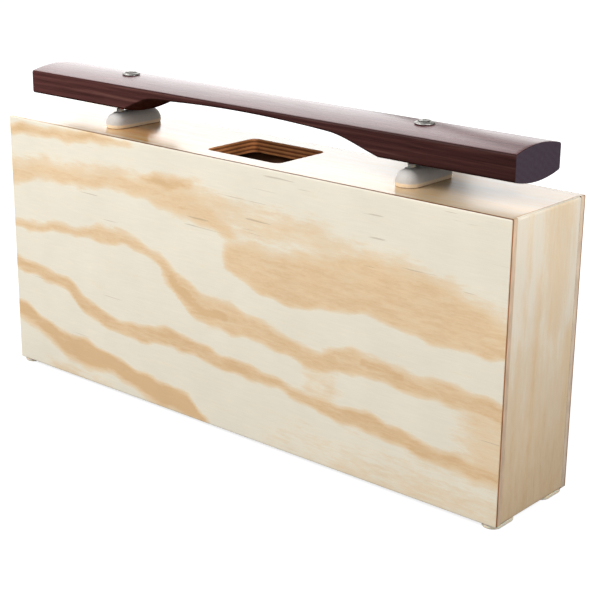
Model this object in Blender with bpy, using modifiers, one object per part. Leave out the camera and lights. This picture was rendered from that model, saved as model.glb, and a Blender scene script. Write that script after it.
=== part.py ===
"""Resonator bar: a crowned rosewood tone bar on soft supports over a plywood resonance box.

Metres, +Z up. The origin is on the floor under the middle of the box, +X runs along the bar
to its right end, and the front of the box looks along -Y.
"""

import math

import bmesh
import bpy
from mathutils import Matrix

# Resonance box: outside sizes, sheet thicknesses and the rounding of the face panels' arrises
BOX_LENGTH = 0.550
BOX_DEPTH = 0.099
BOX_HEIGHT = 0.237
FRAME_PLY = 0.012
FACE_PLY = 0.0065
ARRIS_ROUNDING = 0.0008

# Sound hole through the top panel
SOUND_HOLE_LENGTH = 0.081
SOUND_HOLE_WIDTH = 0.061
SOUND_HOLE_CORNER = 0.0065

# Oblong feet with round ends, lying across the box, set in from its ends and faces
FOOT_LENGTH = 0.030
FOOT_WIDTH = 0.016
FOOT_HEIGHT = 0.003
FOOT_ROUNDING = 0.0012
FOOT_INSET = 0.0008

# Tone bar: flat sides, with an arc of this crown above and below them
BAR_LENGTH = 0.526
BAR_WIDTH = 0.060
BAR_SIDE_HEIGHT = 0.0199
BAR_CROWN = 0.0042

# Undercut: a shallow arch between two ramps, the left one steep and the right one long, crowned
# like the bar's underside. The crest thickness is what is left of the side face over the arch.
CREST_THICKNESS = 0.0038
ARCH_CENTRE = -0.0075
ARCH_RADIUS = 1.420
LEFT_RAMP_FOOT = 0.160
LEFT_RAMP_LENGTH = 0.055
RIGHT_RAMP_FOOT = 0.171
RIGHT_RAMP_LENGTH = 0.081

# Soft supports at the bar's nodal points: a loaf-shaped cushion with two studs on it
SUPPORT_SPACING = 0.323
CUSHION_LENGTH = 0.062
CUSHION_WIDTH = 0.021
CUSHION_HEIGHT = 0.0132
CUSHION_ROUNDING = 0.008
STUD_SPACING = 0.029
STUD_DIAMETER = 0.0065
STUD_HEIGHT = 0.0030
STUD_ROUNDING = 0.001

# Bar screws, cup washers and the sleeves in the bar's holes
SCREW_DIAMETER = 0.005
SCREW_LENGTH = 0.072
SCREW_TIP = 0.006
HEAD_DIAMETER = 0.0094
HEAD_DOME = 0.0009
RECESS_SPAN = 0.0042
RECESS_WIDTH = 0.0011
RECESS_DEPTH = 0.0015
WASHER_DIAMETER = 0.016
WASHER_HEIGHT = 0.0017
WASHER_RIM = 0.0006
SLEEVE_WALL = 0.0015

# Hardwood blocks that take the screws under the top panel
BLOCK_LENGTH = 0.040
BLOCK_WIDTH = 0.030
BLOCK_HEIGHT = 0.018
BLOCK_ROUNDING = 0.001

# Gap between pieces that are glued or rest on each other, and around the screws
SEAT_GAP = 0.0003
SCREW_CLEARANCE = 0.0004

# How far a cutter passes the piece it cuts, what counts as one point or one flat, and the most
# of a cushion's half width that its rolled edge may take
OVERSHOOT = 0.010
WELD_DISTANCE = 0.000001
FLAT_ANGLE = math.radians(0.1)
ROLL_LIMIT = 0.95

# Facets on round forms
ROUND_STEPS = 32
CORNER_STEPS = 6
CROWN_STEPS = 14
ARCH_STEPS = 60
HALVINGS = 40

# Heights that follow from the stack: feet, box, cushion, studs, bar
BOX_BOTTOM = FOOT_HEIGHT + SEAT_GAP
BOX_TOP = BOX_BOTTOM + BOX_HEIGHT
FRAME_DEPTH = BOX_DEPTH - 2 * FACE_PLY - 2 * SEAT_GAP
CUSHION_BASE = BOX_TOP + SEAT_GAP
STUD_BASE = CUSHION_BASE + CUSHION_HEIGHT + SEAT_GAP
STUD_TOP = STUD_BASE + STUD_HEIGHT
SCREW_HOLE_DIAMETER = SCREW_DIAMETER + 2 * SCREW_CLEARANCE
SLEEVE_DIAMETER = SCREW_HOLE_DIAMETER + 2 * SLEEVE_WALL
BAR_HOLE_DIAMETER = SLEEVE_DIAMETER + 2 * SEAT_GAP
SIDES = {"left": -1, "right": 1}
FACES = {"front": -1, "back": 1}

# Turn that lays a drawn outline across the box (X-Z)
ACROSS_BOX = Matrix.Rotation(math.pi / 2, 4, "X")


def crown_height(y):
    """Height of the bar's crown arc above its side edge, at a distance y from the middle."""
    half = BAR_WIDTH / 2
    radius = (half ** 2 + BAR_CROWN ** 2) / (2 * BAR_CROWN)
    return math.sqrt(radius ** 2 - y ** 2) - (radius - BAR_CROWN)


def smooth_step(share):
    """Rise from 0 to 1 with level ends."""
    share = min(max(share, 0.0), 1.0)
    return share * share * (3 - 2 * share)


def cutter_height(x):
    """Height that the undercut's curve has over the bar's lower side edge, at a place x along it."""
    arch = BAR_SIDE_HEIGHT - CREST_THICKNESS - (x - ARCH_CENTRE) ** 2 / (2 * ARCH_RADIUS)
    left = smooth_step((x + LEFT_RAMP_FOOT) / LEFT_RAMP_LENGTH)
    right = smooth_step((RIGHT_RAMP_FOOT - x) / RIGHT_RAMP_LENGTH)
    return (arch + BAR_CROWN) * left * right - BAR_CROWN


def undercut_foot(outside, inside):
    """Place where the undercut's curve meets the lower side edge, by halving the span between."""
    for halving in range(HALVINGS):
        middle = (outside + inside) / 2
        if cutter_height(middle) < 0:
            outside = middle
        else:
            inside = middle
    return inside


# The bar rests on the studs' inner edges, where its lower crown hangs lowest
BAR_SIDE_BOTTOM = STUD_TOP + SEAT_GAP + crown_height((STUD_SPACING - STUD_DIAMETER) / 2)
BAR_CROWN_BOTTOM = BAR_SIDE_BOTTOM - BAR_CROWN
BAR_CROWN_TOP = BAR_SIDE_BOTTOM + BAR_SIDE_HEIGHT + BAR_CROWN


def clear_scene():
    """Remove every object that the scene starts with."""
    for existing in list(bpy.data.objects):
        bpy.data.objects.remove(existing, do_unlink=True)


def new_collection(name):
    """Make a collection in the scene."""
    collection = bpy.data.collections.new(name)
    bpy.context.scene.collection.children.link(collection)
    return collection


def new_finish(name, colour, roughness, metallic=0.0):
    """Make a Principled material."""
    finish = bpy.data.materials.new(name)
    finish.use_nodes = True
    shader = finish.node_tree.nodes["Principled BSDF"]
    shader.inputs["Base Color"].default_value = (*colour, 1.0)
    shader.inputs["Roughness"].default_value = roughness
    shader.inputs["Metallic"].default_value = metallic
    return finish


def new_empty(name, location):
    """Make an empty that carries the pieces of one body."""
    empty = bpy.data.objects.new(name, None)
    empty.location = location
    parts.objects.link(empty)
    return empty


def add_piece(name, mesh, finish, carrier, location=(0, 0, 0)):
    """Make one piece of the object, placed from its carrier's origin."""
    piece = bpy.data.objects.new(name, mesh)
    piece.location = location
    piece.parent = carrier
    mesh.materials.append(finish)
    parts.objects.link(piece)
    return piece


def add_cutter(name, mesh, location=(0, 0, 0)):
    """Make a hidden shape that other pieces are cut by."""
    cutter = bpy.data.objects.new(name, mesh)
    cutter.location = location
    cutter.hide_render = True
    cutter.display_type = "WIRE"
    cutters.objects.link(cutter)
    return cutter


def cut(piece, cutter):
    """Take a cutter's shape out of a piece."""
    boolean = piece.modifiers.new("cut_" + cutter.name, "BOOLEAN")
    boolean.operation = "DIFFERENCE"
    boolean.object = cutter


def soften(piece, width, segments=2):
    """Round a piece's sharp edges."""
    bevel = piece.modifiers.new("rounding", "BEVEL")
    bevel.width = width
    bevel.segments = segments
    bevel.limit_method = "ANGLE"


def outline_mesh(name, points, thickness, turn=Matrix()):
    """Extrude a closed flat outline to a solid, centred on the outline's plane, then turn it."""
    curve = bpy.data.curves.new(name, "CURVE")
    curve.dimensions = "2D"
    curve.fill_mode = "BOTH"
    curve.extrude = thickness / 2
    spline = curve.splines.new("POLY")
    spline.points.add(len(points) - 1)
    for point, (across, up) in zip(spline.points, points):
        point.co = (across, up, 0, 1)
    spline.use_cyclic_u = True
    drawn = bpy.data.objects.new(name, curve)
    bpy.context.scene.collection.objects.link(drawn)
    evaluated = drawn.evaluated_get(bpy.context.evaluated_depsgraph_get())
    mesh = bpy.data.meshes.new_from_object(evaluated)
    bpy.data.objects.remove(drawn, do_unlink=True)
    mesh.transform(turn)
    tidy_mesh(mesh)
    return mesh


def lofted_mesh(name, points, count):
    """Join closed sections of count points each, one after the other, to a solid with two caps."""
    faces = [list(range(count)), list(range(len(points) - count, len(points)))]
    for start in range(0, len(points) - count, count):
        for spot in range(count):
            after = (spot + 1) % count
            faces.append((start + spot, start + after, start + count + after, start + count + spot))
    mesh = bpy.data.meshes.new(name)
    mesh.from_pydata(points, [], faces)
    tidy_mesh(mesh)
    return mesh


def tidy_mesh(mesh):
    """Join points that coincide and faces that lie in one plane, and turn all faces outwards."""
    work = bmesh.new()
    work.from_mesh(mesh)
    bmesh.ops.remove_doubles(work, verts=work.verts, dist=WELD_DISTANCE)
    bmesh.ops.dissolve_limit(work, angle_limit=FLAT_ANGLE, verts=work.verts, edges=work.edges)
    bmesh.ops.recalc_face_normals(work, faces=work.faces)
    work.to_mesh(mesh)
    work.free()


def block_mesh(name, length, depth, height):
    """Make a box of the given size, centred on its origin."""
    mesh = bpy.data.meshes.new(name)
    work = bmesh.new()
    bmesh.ops.create_cube(work, size=1.0, matrix=Matrix.Diagonal((length, depth, height, 1)))
    work.to_mesh(mesh)
    work.free()
    return mesh


def rod_mesh(name, diameter, length):
    """Make an upright cylinder, centred on its origin."""
    mesh = bpy.data.meshes.new(name)
    work = bmesh.new()
    bmesh.ops.create_cone(work, cap_ends=True, segments=ROUND_STEPS, depth=length,
                          radius1=diameter / 2, radius2=diameter / 2)
    work.to_mesh(mesh)
    work.free()
    return mesh


def turned_piece(name, profile, closed, finish, carrier, location):
    """Turn a profile of (radius, height) points about the upright axis.

    The profile runs down its outer side. An open one starts and ends on the axis.
    """
    mesh = bpy.data.meshes.new(name)
    count = len(profile)
    edges = [(step, step + 1) for step in range(count - 1)]
    if closed:
        edges.append((count - 1, 0))
    mesh.from_pydata([(radius, 0, height) for radius, height in profile], edges, [])
    piece = add_piece(name, mesh, finish, carrier, location)
    lathe = piece.modifiers.new("turning", "SCREW")
    lathe.steps = ROUND_STEPS
    lathe.render_steps = ROUND_STEPS
    lathe.use_merge_vertices = True
    lathe.merge_threshold = WELD_DISTANCE
    lathe.use_smooth_shade = False
    return piece


def quarter_round(centre_radius, centre_height, rounding, start, end):
    """Points of an arc in a turned profile, between two angles from the outward direction."""
    angles = [start + (end - start) * step / CORNER_STEPS for step in range(CORNER_STEPS + 1)]
    return [(centre_radius + rounding * math.cos(angle), centre_height + rounding * math.sin(angle))
            for angle in angles]


def rounded_rectangle(length, width, corner):
    """Outline of a rectangle with round corners, centred, anticlockwise."""
    points = []
    corners = ((1, 1), (-1, 1), (-1, -1), (1, -1))
    for quarter, (along, across) in enumerate(corners):
        centre_x = along * (length / 2 - corner)
        centre_y = across * (width / 2 - corner)
        for step in range(CORNER_STEPS + 1):
            angle = (quarter + step / CORNER_STEPS) * math.pi / 2
            points.append((centre_x + corner * math.cos(angle), centre_y + corner * math.sin(angle)))
    return points


def round_rim(mesh, thickness, side, rounding):
    """Round one rim of an extruded plan: the upper one for side 1, the lower one for side -1."""
    work = bmesh.new()
    work.from_mesh(mesh)
    level = thickness / 2 - WELD_DISTANCE
    rim = [edge for edge in work.edges if all(side * vert.co.z > level for vert in edge.verts)]
    bmesh.ops.bevel(work, geom=rim, offset=rounding, segments=CORNER_STEPS, profile=0.5, affect="EDGES")
    work.to_mesh(mesh)
    work.free()


def frame_member(name, length, finish):
    """Mitred board lying along X, seen from the front, with its outside at height 0."""
    mitre_gap = SEAT_GAP / math.sqrt(2)
    outer = length / 2 - mitre_gap
    inner = outer - FRAME_PLY
    outline = [(-outer, 0), (-inner, -FRAME_PLY), (inner, -FRAME_PLY), (outer, 0)]
    mesh = outline_mesh(name, outline, FRAME_DEPTH, ACROSS_BOX)
    return add_piece(name, mesh, finish, box)


def make_frame():
    """The four mitred boards of the box: top with its sound hole, bottom and two ends."""
    middle = BOX_BOTTOM + BOX_HEIGHT / 2
    top = frame_member("top_panel", BOX_LENGTH, ply)
    top.location.z = BOX_TOP
    hole = rounded_rectangle(SOUND_HOLE_LENGTH, SOUND_HOLE_WIDTH, SOUND_HOLE_CORNER)
    hole_mesh = outline_mesh("sound_hole", hole, FRAME_PLY + 2 * OVERSHOOT)
    cut(top, add_cutter("sound_hole", hole_mesh, (0, 0, BOX_TOP - FRAME_PLY / 2)))
    for side in SIDES:
        cut(top, screw_holes[side])
    bottom = frame_member("bottom_panel", BOX_LENGTH, ply)
    bottom.location.z = BOX_BOTTOM
    bottom.rotation_euler = (math.pi, 0, 0)
    for side, sign in SIDES.items():
        end = frame_member(side + "_end_panel", BOX_HEIGHT, ply)
        end.location = (sign * BOX_LENGTH / 2, 0, middle)
        end.rotation_euler = (0, sign * math.pi / 2, 0)


def make_faces():
    """The thinner ply panels glued over the front and the back of the frame."""
    middle = BOX_BOTTOM + BOX_HEIGHT / 2
    for face, sign in FACES.items():
        name = face + "_panel"
        mesh = block_mesh(name, BOX_LENGTH, FACE_PLY, BOX_HEIGHT)
        panel = add_piece(name, mesh, ply, box, (0, sign * (BOX_DEPTH - FACE_PLY) / 2, middle))
        soften(panel, ARRIS_ROUNDING)


def make_feet():
    """Four oblong feet under the corners, rounded where they meet the floor."""
    plan = rounded_rectangle(FOOT_WIDTH, FOOT_LENGTH, FOOT_WIDTH / 2)
    for face, back in FACES.items():
        for side, right in SIDES.items():
            name = f"foot_{face}_{side}"
            mesh = outline_mesh(name, plan, FOOT_HEIGHT)
            round_rim(mesh, FOOT_HEIGHT, -1, FOOT_ROUNDING)
            place = (right * (BOX_LENGTH / 2 - FOOT_INSET - FOOT_WIDTH / 2),
                     back * (BOX_DEPTH / 2 - FOOT_INSET - FOOT_LENGTH / 2), FOOT_HEIGHT / 2)
            add_piece(name, mesh, pale_rubber, box, place)


def make_bar():
    """The tone bar: its barrel section drawn out along X, with the underside lifted by the undercut
    from station to station, and drilled."""
    half = BAR_WIDTH / 2
    spots = [half - BAR_WIDTH * step / CROWN_STEPS for step in range(CROWN_STEPS + 1)]
    left = undercut_foot(-LEFT_RAMP_FOOT, ARCH_CENTRE)
    right = undercut_foot(RIGHT_RAMP_FOOT, ARCH_CENTRE)
    stations = [(-BAR_LENGTH / 2, 0.0), (left, 0.0)]
    for step in range(1, ARCH_STEPS):
        x = left + (right - left) * step / ARCH_STEPS
        stations.append((x, cutter_height(x)))
    stations += [(right, 0.0), (BAR_LENGTH / 2, 0.0)]
    points = []
    for x, lift in stations:
        points += [(x, y, BAR_SIDE_HEIGHT + crown_height(y)) for y in spots]
        points += [(x, -y, lift - crown_height(y)) for y in spots]
    piece = add_piece("tone_bar", lofted_mesh("tone_bar", points, 2 * len(spots)), rosewood, floating)
    hole_length = BAR_SIDE_HEIGHT + 2 * BAR_CROWN + 2 * OVERSHOOT
    for side, sign in SIDES.items():
        hole = rod_mesh("bar_hole_" + side, BAR_HOLE_DIAMETER, hole_length)
        place = (sign * SUPPORT_SPACING / 2, 0, BAR_SIDE_BOTTOM + BAR_SIDE_HEIGHT / 2)
        cut(piece, add_cutter("bar_hole_" + side, hole, place))


def make_sleeves():
    """Soft sleeves that line the bar's holes and slide on the screws with the bar."""
    inner = SCREW_HOLE_DIAMETER / 2
    outer = SLEEVE_DIAMETER / 2
    top = BAR_CROWN_TOP - BAR_SIDE_BOTTOM
    bottom = BAR_CROWN_BOTTOM - BAR_SIDE_BOTTOM
    profile = [(outer, top), (outer, bottom), (inner, bottom), (inner, top)]
    for side, sign in SIDES.items():
        place = (sign * SUPPORT_SPACING / 2, 0, 0)
        turned_piece("bar_sleeve_" + side, profile, True, pale_rubber, floating, place)


def make_washers_and_screws():
    """Cup washers on the bar's crown, and the long oval-head screws that seat in them."""
    hole = SCREW_HOLE_DIAMETER / 2
    shank = SCREW_DIAMETER / 2
    head = HEAD_DIAMETER / 2
    cup = head + SEAT_GAP * (1 + math.sqrt(2))
    cone_top = WASHER_HEIGHT
    cone_bottom = cone_top - (cup - hole)
    washer = [(cup, cone_top), (WASHER_DIAMETER / 2, WASHER_RIM), (WASHER_DIAMETER / 2, 0), (hole, 0)]
    if cone_bottom > 0:
        washer.append((hole, cone_bottom))
    rim_height = WASHER_HEIGHT + SEAT_GAP
    neck_height = rim_height - (head - shank)
    dome = [(head * math.sin(step * math.pi / 2 / CORNER_STEPS),
             rim_height + HEAD_DOME * math.cos(step * math.pi / 2 / CORNER_STEPS))
            for step in range(CORNER_STEPS + 1)]
    tip_height = rim_height + HEAD_DOME - SCREW_LENGTH
    screw = dome + [(shank, neck_height), (shank, tip_height + SCREW_TIP), (0, tip_height)]
    for side, sign in SIDES.items():
        place = (sign * SUPPORT_SPACING / 2, 0, BAR_CROWN_TOP + SEAT_GAP)
        turned_piece("cup_washer_" + side, washer, True, nickel, box, place)
        piece = turned_piece("bar_screw_" + side, screw, False, nickel, box, place)
        top_of_head = place[2] + rim_height + HEAD_DOME
        for turn, size in (("along", (RECESS_SPAN, RECESS_WIDTH)), ("across", (RECESS_WIDTH, RECESS_SPAN))):
            slot = block_mesh(f"recess_{side}_{turn}", *size, 2 * RECESS_DEPTH)
            cut(piece, add_cutter(f"recess_{side}_{turn}", slot, (*place[:2], top_of_head)))


def make_cushions():
    """Loaf-shaped cushions on the box: round-ended plan, flat base, rolled top edge."""
    plan = rounded_rectangle(CUSHION_WIDTH, CUSHION_LENGTH, CUSHION_WIDTH / 2)
    for side, sign in SIDES.items():
        name = "support_cushion_" + side
        mesh = outline_mesh(name, plan, CUSHION_HEIGHT)
        round_rim(mesh, CUSHION_HEIGHT, 1, min(CUSHION_ROUNDING, ROLL_LIMIT * CUSHION_WIDTH / 2))
        place = (sign * SUPPORT_SPACING / 2, 0, CUSHION_BASE + CUSHION_HEIGHT / 2)
        cut(add_piece(name, mesh, foam, box, place), screw_holes[side])


def make_studs():
    """Two soft studs on each cushion, astride the screw, that the bar rests on."""
    radius = STUD_DIAMETER / 2
    shoulder = STUD_HEIGHT - STUD_ROUNDING
    profile = [(0, STUD_HEIGHT)]
    profile += quarter_round(radius - STUD_ROUNDING, shoulder, STUD_ROUNDING, math.pi / 2, 0)
    profile += [(radius, 0), (0, 0)]
    for side, right in SIDES.items():
        for face, back in FACES.items():
            place = (right * SUPPORT_SPACING / 2, back * STUD_SPACING / 2, STUD_BASE)
            turned_piece(f"support_stud_{side}_{face}", profile, False, pale_rubber, box, place)


def make_screw_blocks():
    """Hardwood blocks glued under the top panel around the screws."""
    for side, sign in SIDES.items():
        name = "screw_block_" + side
        mesh = block_mesh(name, BLOCK_LENGTH, BLOCK_WIDTH, BLOCK_HEIGHT)
        height = BOX_TOP - FRAME_PLY - SEAT_GAP - BLOCK_HEIGHT / 2
        piece = add_piece(name, mesh, hardwood, box, (sign * SUPPORT_SPACING / 2, 0, height))
        soften(piece, BLOCK_ROUNDING)
        cut(piece, screw_holes[side])


def make_screw_holes():
    """Cutters for the holes that the screws pass through, from the bar down into the blocks."""
    holes = {}
    for side, sign in SIDES.items():
        name = "screw_hole_" + side
        mesh = rod_mesh(name, SCREW_HOLE_DIAMETER, 2 * SCREW_LENGTH)
        holes[side] = add_cutter(name, mesh, (sign * SUPPORT_SPACING / 2, 0, BOX_TOP))
    return holes


clear_scene()
parts = new_collection("resonator_bar")
cutters = new_collection("resonator_bar_cutters")
ply = new_finish("pine_plywood", (0.80, 0.64, 0.42), 0.25)
rosewood = new_finish("rosewood", (0.09, 0.035, 0.03), 0.35)
hardwood = new_finish("beech", (0.62, 0.43, 0.27), 0.6)
foam = new_finish("grey_foam", (0.62, 0.61, 0.58), 0.9)
pale_rubber = new_finish("pale_rubber", (0.70, 0.69, 0.64), 0.55)
nickel = new_finish("nickel_plate", (0.72, 0.70, 0.66), 0.25, 1.0)
box = new_empty("box_carrier", (0, 0, 0))
floating = new_empty("bar_carrier", (0, 0, BAR_SIDE_BOTTOM))
screw_holes = make_screw_holes()
make_frame()
make_faces()
make_feet()
make_bar()
make_sleeves()
make_washers_and_screws()
make_cushions()
make_studs()
make_screw_blocks()
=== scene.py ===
"""Resonator bar: the finished look of a rosewood tone bar over a pine plywood resonance box.

Laid out as an add-on. Lengths are in metres, in the frame of the packed model: +X runs along
the bar to its right end, +Y from the front of the box to its back, +Z up.
"""

import math

import bmesh
import bpy
import numpy as np
from mathutils import Matrix, Vector


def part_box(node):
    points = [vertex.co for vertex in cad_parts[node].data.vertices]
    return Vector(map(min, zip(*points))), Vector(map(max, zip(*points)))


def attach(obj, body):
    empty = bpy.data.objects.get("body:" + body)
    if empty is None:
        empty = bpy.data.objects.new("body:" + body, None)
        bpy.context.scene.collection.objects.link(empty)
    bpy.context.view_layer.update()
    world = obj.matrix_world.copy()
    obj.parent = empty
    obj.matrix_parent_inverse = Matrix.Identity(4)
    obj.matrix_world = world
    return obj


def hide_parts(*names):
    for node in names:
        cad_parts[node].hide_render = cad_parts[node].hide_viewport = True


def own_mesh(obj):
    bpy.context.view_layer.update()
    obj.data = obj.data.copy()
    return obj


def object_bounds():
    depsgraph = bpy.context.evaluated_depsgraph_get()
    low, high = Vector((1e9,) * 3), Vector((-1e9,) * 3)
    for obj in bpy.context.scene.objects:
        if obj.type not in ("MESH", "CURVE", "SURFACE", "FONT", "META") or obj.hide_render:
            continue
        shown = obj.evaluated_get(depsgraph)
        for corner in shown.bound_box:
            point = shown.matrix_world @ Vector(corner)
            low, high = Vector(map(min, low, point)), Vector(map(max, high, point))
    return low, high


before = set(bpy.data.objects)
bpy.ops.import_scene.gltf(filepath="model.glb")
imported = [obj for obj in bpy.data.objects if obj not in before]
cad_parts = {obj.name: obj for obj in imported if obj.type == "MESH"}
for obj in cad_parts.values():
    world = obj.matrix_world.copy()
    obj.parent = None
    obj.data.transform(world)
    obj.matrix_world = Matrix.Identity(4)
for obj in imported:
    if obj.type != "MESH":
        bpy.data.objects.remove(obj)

bl_info = {
    "name": "Resonator Bar",
    "version": (1, 0, 0),
    "blender": (4, 5, 0),
    "location": "View3D > Sidebar > Resonator Bar",
    "description": "Builds the visible pieces of a resonator bar over its packed frame",
    "category": "Object",
}

CAD_BOX = [list(corner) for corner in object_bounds()]
BAR_LOW, BAR_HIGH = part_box("tone_bar")
TOP_LOW, TOP_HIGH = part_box("top_panel")
PAD_LOW, PAD_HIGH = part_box("support_cushion_right")
STUD_LOW, STUD_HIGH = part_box("support_stud_right_back")
SCREW_LOW, SCREW_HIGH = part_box("bar_screw_right")
CUP_LOW, CUP_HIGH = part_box("cup_washer_right")
SLEEVE_LOW, SLEEVE_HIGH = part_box("bar_sleeve_right")
FOOT_LOW, FOOT_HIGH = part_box("foot_back_right")
SIDES = {"left": -1, "right": 1}
FACES = {"front": -1, "back": 1}
SUPPORT_X = (SCREW_LOW.x + SCREW_HIGH.x) / 2
STUD_Y = (STUD_LOW.y + STUD_HIGH.y) / 2
FOOT_PLACE = (FOOT_LOW + FOOT_HIGH) / 2
# Heights between which a cushion's tan base band, brightened with painted warm bounce light from the top
# board, fades
BOUNCE_LOW = PAD_LOW.z + 0.0023
BOUNCE_HIGH = PAD_LOW.z + 0.0036
# Points closer than this are joined
WELD = 1e-7
# How far a drill reaches past the wood
DRILL_REACH = 0.01
# Small rounding that keeps an edge from looking knife-sharp
EASED = 0.0002


def metres(name, default, description):
    """A length that a user may change."""
    return bpy.props.FloatProperty(name=name, description=description, default=default,
                                   unit="LENGTH", precision=4)


def colour(name, default, description):
    """A colour that a user may change, as linear red, green and blue."""
    return bpy.props.FloatVectorProperty(name=name, description=description, default=default,
                                         subtype="COLOR", size=3, min=0.0, max=1.0)


def share(name, default, description):
    """A plain number that a user may change."""
    return bpy.props.FloatProperty(name=name, description=description, default=default, min=0.0)


def place(name, default, description):
    """A point that a user may change."""
    return bpy.props.FloatVectorProperty(name=name, description=description, default=default,
                                         subtype="TRANSLATION", size=3)


class BarSizes(bpy.types.PropertyGroup):
    """Sizes of the tone bar."""
    length: metres("Length", BAR_HIGH.x - BAR_LOW.x, "Bar from end to end")
    width: metres("Width", BAR_HIGH.y - BAR_LOW.y, "Bar from side to side")
    crown: metres("Crown", 0.0042, "Rise of the curved top and of the curved underside")
    edge: metres("Edge rounding", 0.0022, "Radius of the four long edges")
    end_edge: metres("End rounding", 0.0009, "Radius of the edges round both ends")
    crest: metres("Crest thickness", 0.0038, "Side face left at the top of the undercut")
    arch_centre: metres("Arch centre", -0.0075, "Place of the undercut's crest along the bar")
    arch_radius: metres("Arch radius", 1.420, "Radius of the shallow arch")
    left_foot: metres("Left ramp foot", -0.160, "Where the undercut starts on the left")
    left_ramp: metres("Left ramp", 0.055, "Length of the steep left ramp")
    right_foot: metres("Right ramp foot", 0.171, "Where the undercut ends on the right")
    right_ramp: metres("Right ramp", 0.081, "Length of the long right ramp")
    hole: metres("Hole", 0.0094, "Diameter of the two holes")


class BoxSizes(bpy.types.PropertyGroup):
    """Sizes of the resonance box."""
    arris: metres("Arris", 0.0011, "Rounding of the front and back panels' edges")
    corner: metres("Corner", 0.0024, "Rounding of the box's edges where two boards are mitred")
    glue: metres("Glue", 0.00025, "How far the panels reach into the gap between them and the frame")
    mitre: metres("Mitre", 0.00017, "How far the boards reach into the gap of their mitres")
    board_edge: metres("Board edge", 0.0001, "Rounding of the frame boards' long edges")
    hole_length: metres("Sound hole length", 0.081, "Sound hole along the box")
    hole_width: metres("Sound hole width", 0.061, "Sound hole across the box")
    hole_corner: metres("Sound hole corner", 0.0065, "Corner radius of the sound hole")
    hole_rim: metres("Sound hole rim", 0.0005, "Rounding of the sound hole's upper and lower rim")
    screw_hole: metres("Screw hole", 0.0058, "Holes that the bar screws pass through")
    figure_step: metres("Figure step", 0.0025, "Spacing of the points that carry the wood figure")
    plain_step: metres("Plain step", 0.02, "Spacing of the points on a board without a figure")


class FittingSizes(bpy.types.PropertyGroup):
    """Sizes of the supports, screws, washers and feet."""
    pad_belly: metres("Pad belly", 0.0030, "Height at which a cushion is widest")
    pad_foot: metres("Pad foot", 0.0003, "How far a cushion's base edge is rounded in")
    pad_pull: metres("Pad pull", 0.0030, "How far a cushion's front end is pulled in")
    stud_rounding: metres("Stud rounding", 0.0012, "Rounded upper edge of a stud")
    stud_waist: metres("Stud waist", 0.00025, "How far a stud's side curves in")
    sleeve_lip: metres("Sleeve lip", 0.0004, "Rounding of a sleeve's edges")
    shank: metres("Shank", 0.005, "Diameter of a bar screw's shank")
    tip: metres("Tip", 0.006, "Length of a bar screw's pointed tip")
    head_dome: metres("Head dome", 0.0006, "Rise of a bar screw's head")
    head_rim: metres("Head rim", 0.00006, "Height of the rim round a bar screw's head")
    recess_span: metres("Recess span", 0.0042, "Cross recess from tip to tip")
    recess_width: metres("Recess width", 0.0011, "Width of the cross recess's slots")
    recess_depth: metres("Recess depth", 0.0015, "Depth of the cross recess")
    cup_rim: metres("Cup rim", 0.0003, "Height of a cup washer's outer rim")
    cup_lip: metres("Cup lip", 0.0004, "Roll of a cup washer's upper lip")
    cup_mouth: metres("Cup mouth", 0.010848, "Diameter of a cup washer's mouth")
    foot_rounding: metres("Foot rounding", 0.0012, "Rounded lower edge of a foot")
    foot_edge: metres("Foot edge", 0.0003, "Rounded upper edge of a foot")


class Colours(bpy.types.PropertyGroup):
    """Colours of the finishes."""
    cream: colour("Cream", (0.83, 0.762, 0.62), "Early wood of the pine veneer")
    honey: colour("Honey", (0.785, 0.585, 0.365), "Late wood of the pine veneer")
    amber: colour("Amber", (0.705, 0.475, 0.26), "Darkest late wood of the pine veneer")
    rose: colour("Rose", (0.82, 0.68, 0.52), "Rosy wood of the ends' veneer and the back panel's core")
    silver: colour("Silver", (0.52, 0.405, 0.275), "Palest wood of the top board")
    gold: colour("Gold", (0.57, 0.36, 0.16), "Middle wood of the top board")
    tan: colour("Tan", (0.54, 0.265, 0.09), "Deepest wood of the top board")
    core: colour("Core", (0.76, 0.555, 0.385), "Side grain of the panels' middle ply")
    resin: colour("Resin", (0.30, 0.19, 0.11), "Short resin streaks in the veneer")
    ply_pale: colour("Pale ply", (0.62, 0.265, 0.10), "Cut edge of the plies that run along")
    ply_dark: colour("Dark ply", (0.13, 0.045, 0.018), "Cut edge of the plies that run across")
    rosewood_dark: colour("Rosewood dark", (0.030, 0.011, 0.010), "Dark streaks of the bar")
    rosewood_red: colour("Rosewood red", (0.056, 0.020, 0.018), "Red-brown wood of the bar")
    rosewood_light: colour("Rosewood light", (0.090, 0.038, 0.032), "Light streaks of the bar")
    # Painted pinkish sheen of the polished top
    rosewood_sheen: colour("Rosewood top", (0.172, 0.059, 0.067), "Sanded top of the bar")
    # End grain of the bar: dark wood with a painted cool reflection of the pale surroundings
    rosewood_end: colour("Rosewood end", (0.067, 0.050, 0.068), "End grain of the bar")
    foam: colour("Foam", (0.60, 0.575, 0.545), "Support cushions")
    # Tan base band of the cushions, brightened with painted warm bounce light from the top board
    base: colour("Cushion base", (0.93, 0.72, 0.48), "Yellowed foam along the cushions' base")
    rubber: colour("Rubber", (0.70, 0.67, 0.61), "Studs and sleeves")
    foot: colour("Foot", (0.84, 0.74, 0.58), "Feet")
    nickel: colour("Nickel", (0.43, 0.42, 0.40), "Screws and cup washers")
    ply_inside: colour("Inside ply", (0.24, 0.11, 0.055), "Raw inner faces of the plywood")
    beech: colour("Beech", (0.55, 0.36, 0.21), "Screw blocks inside the box")


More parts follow.
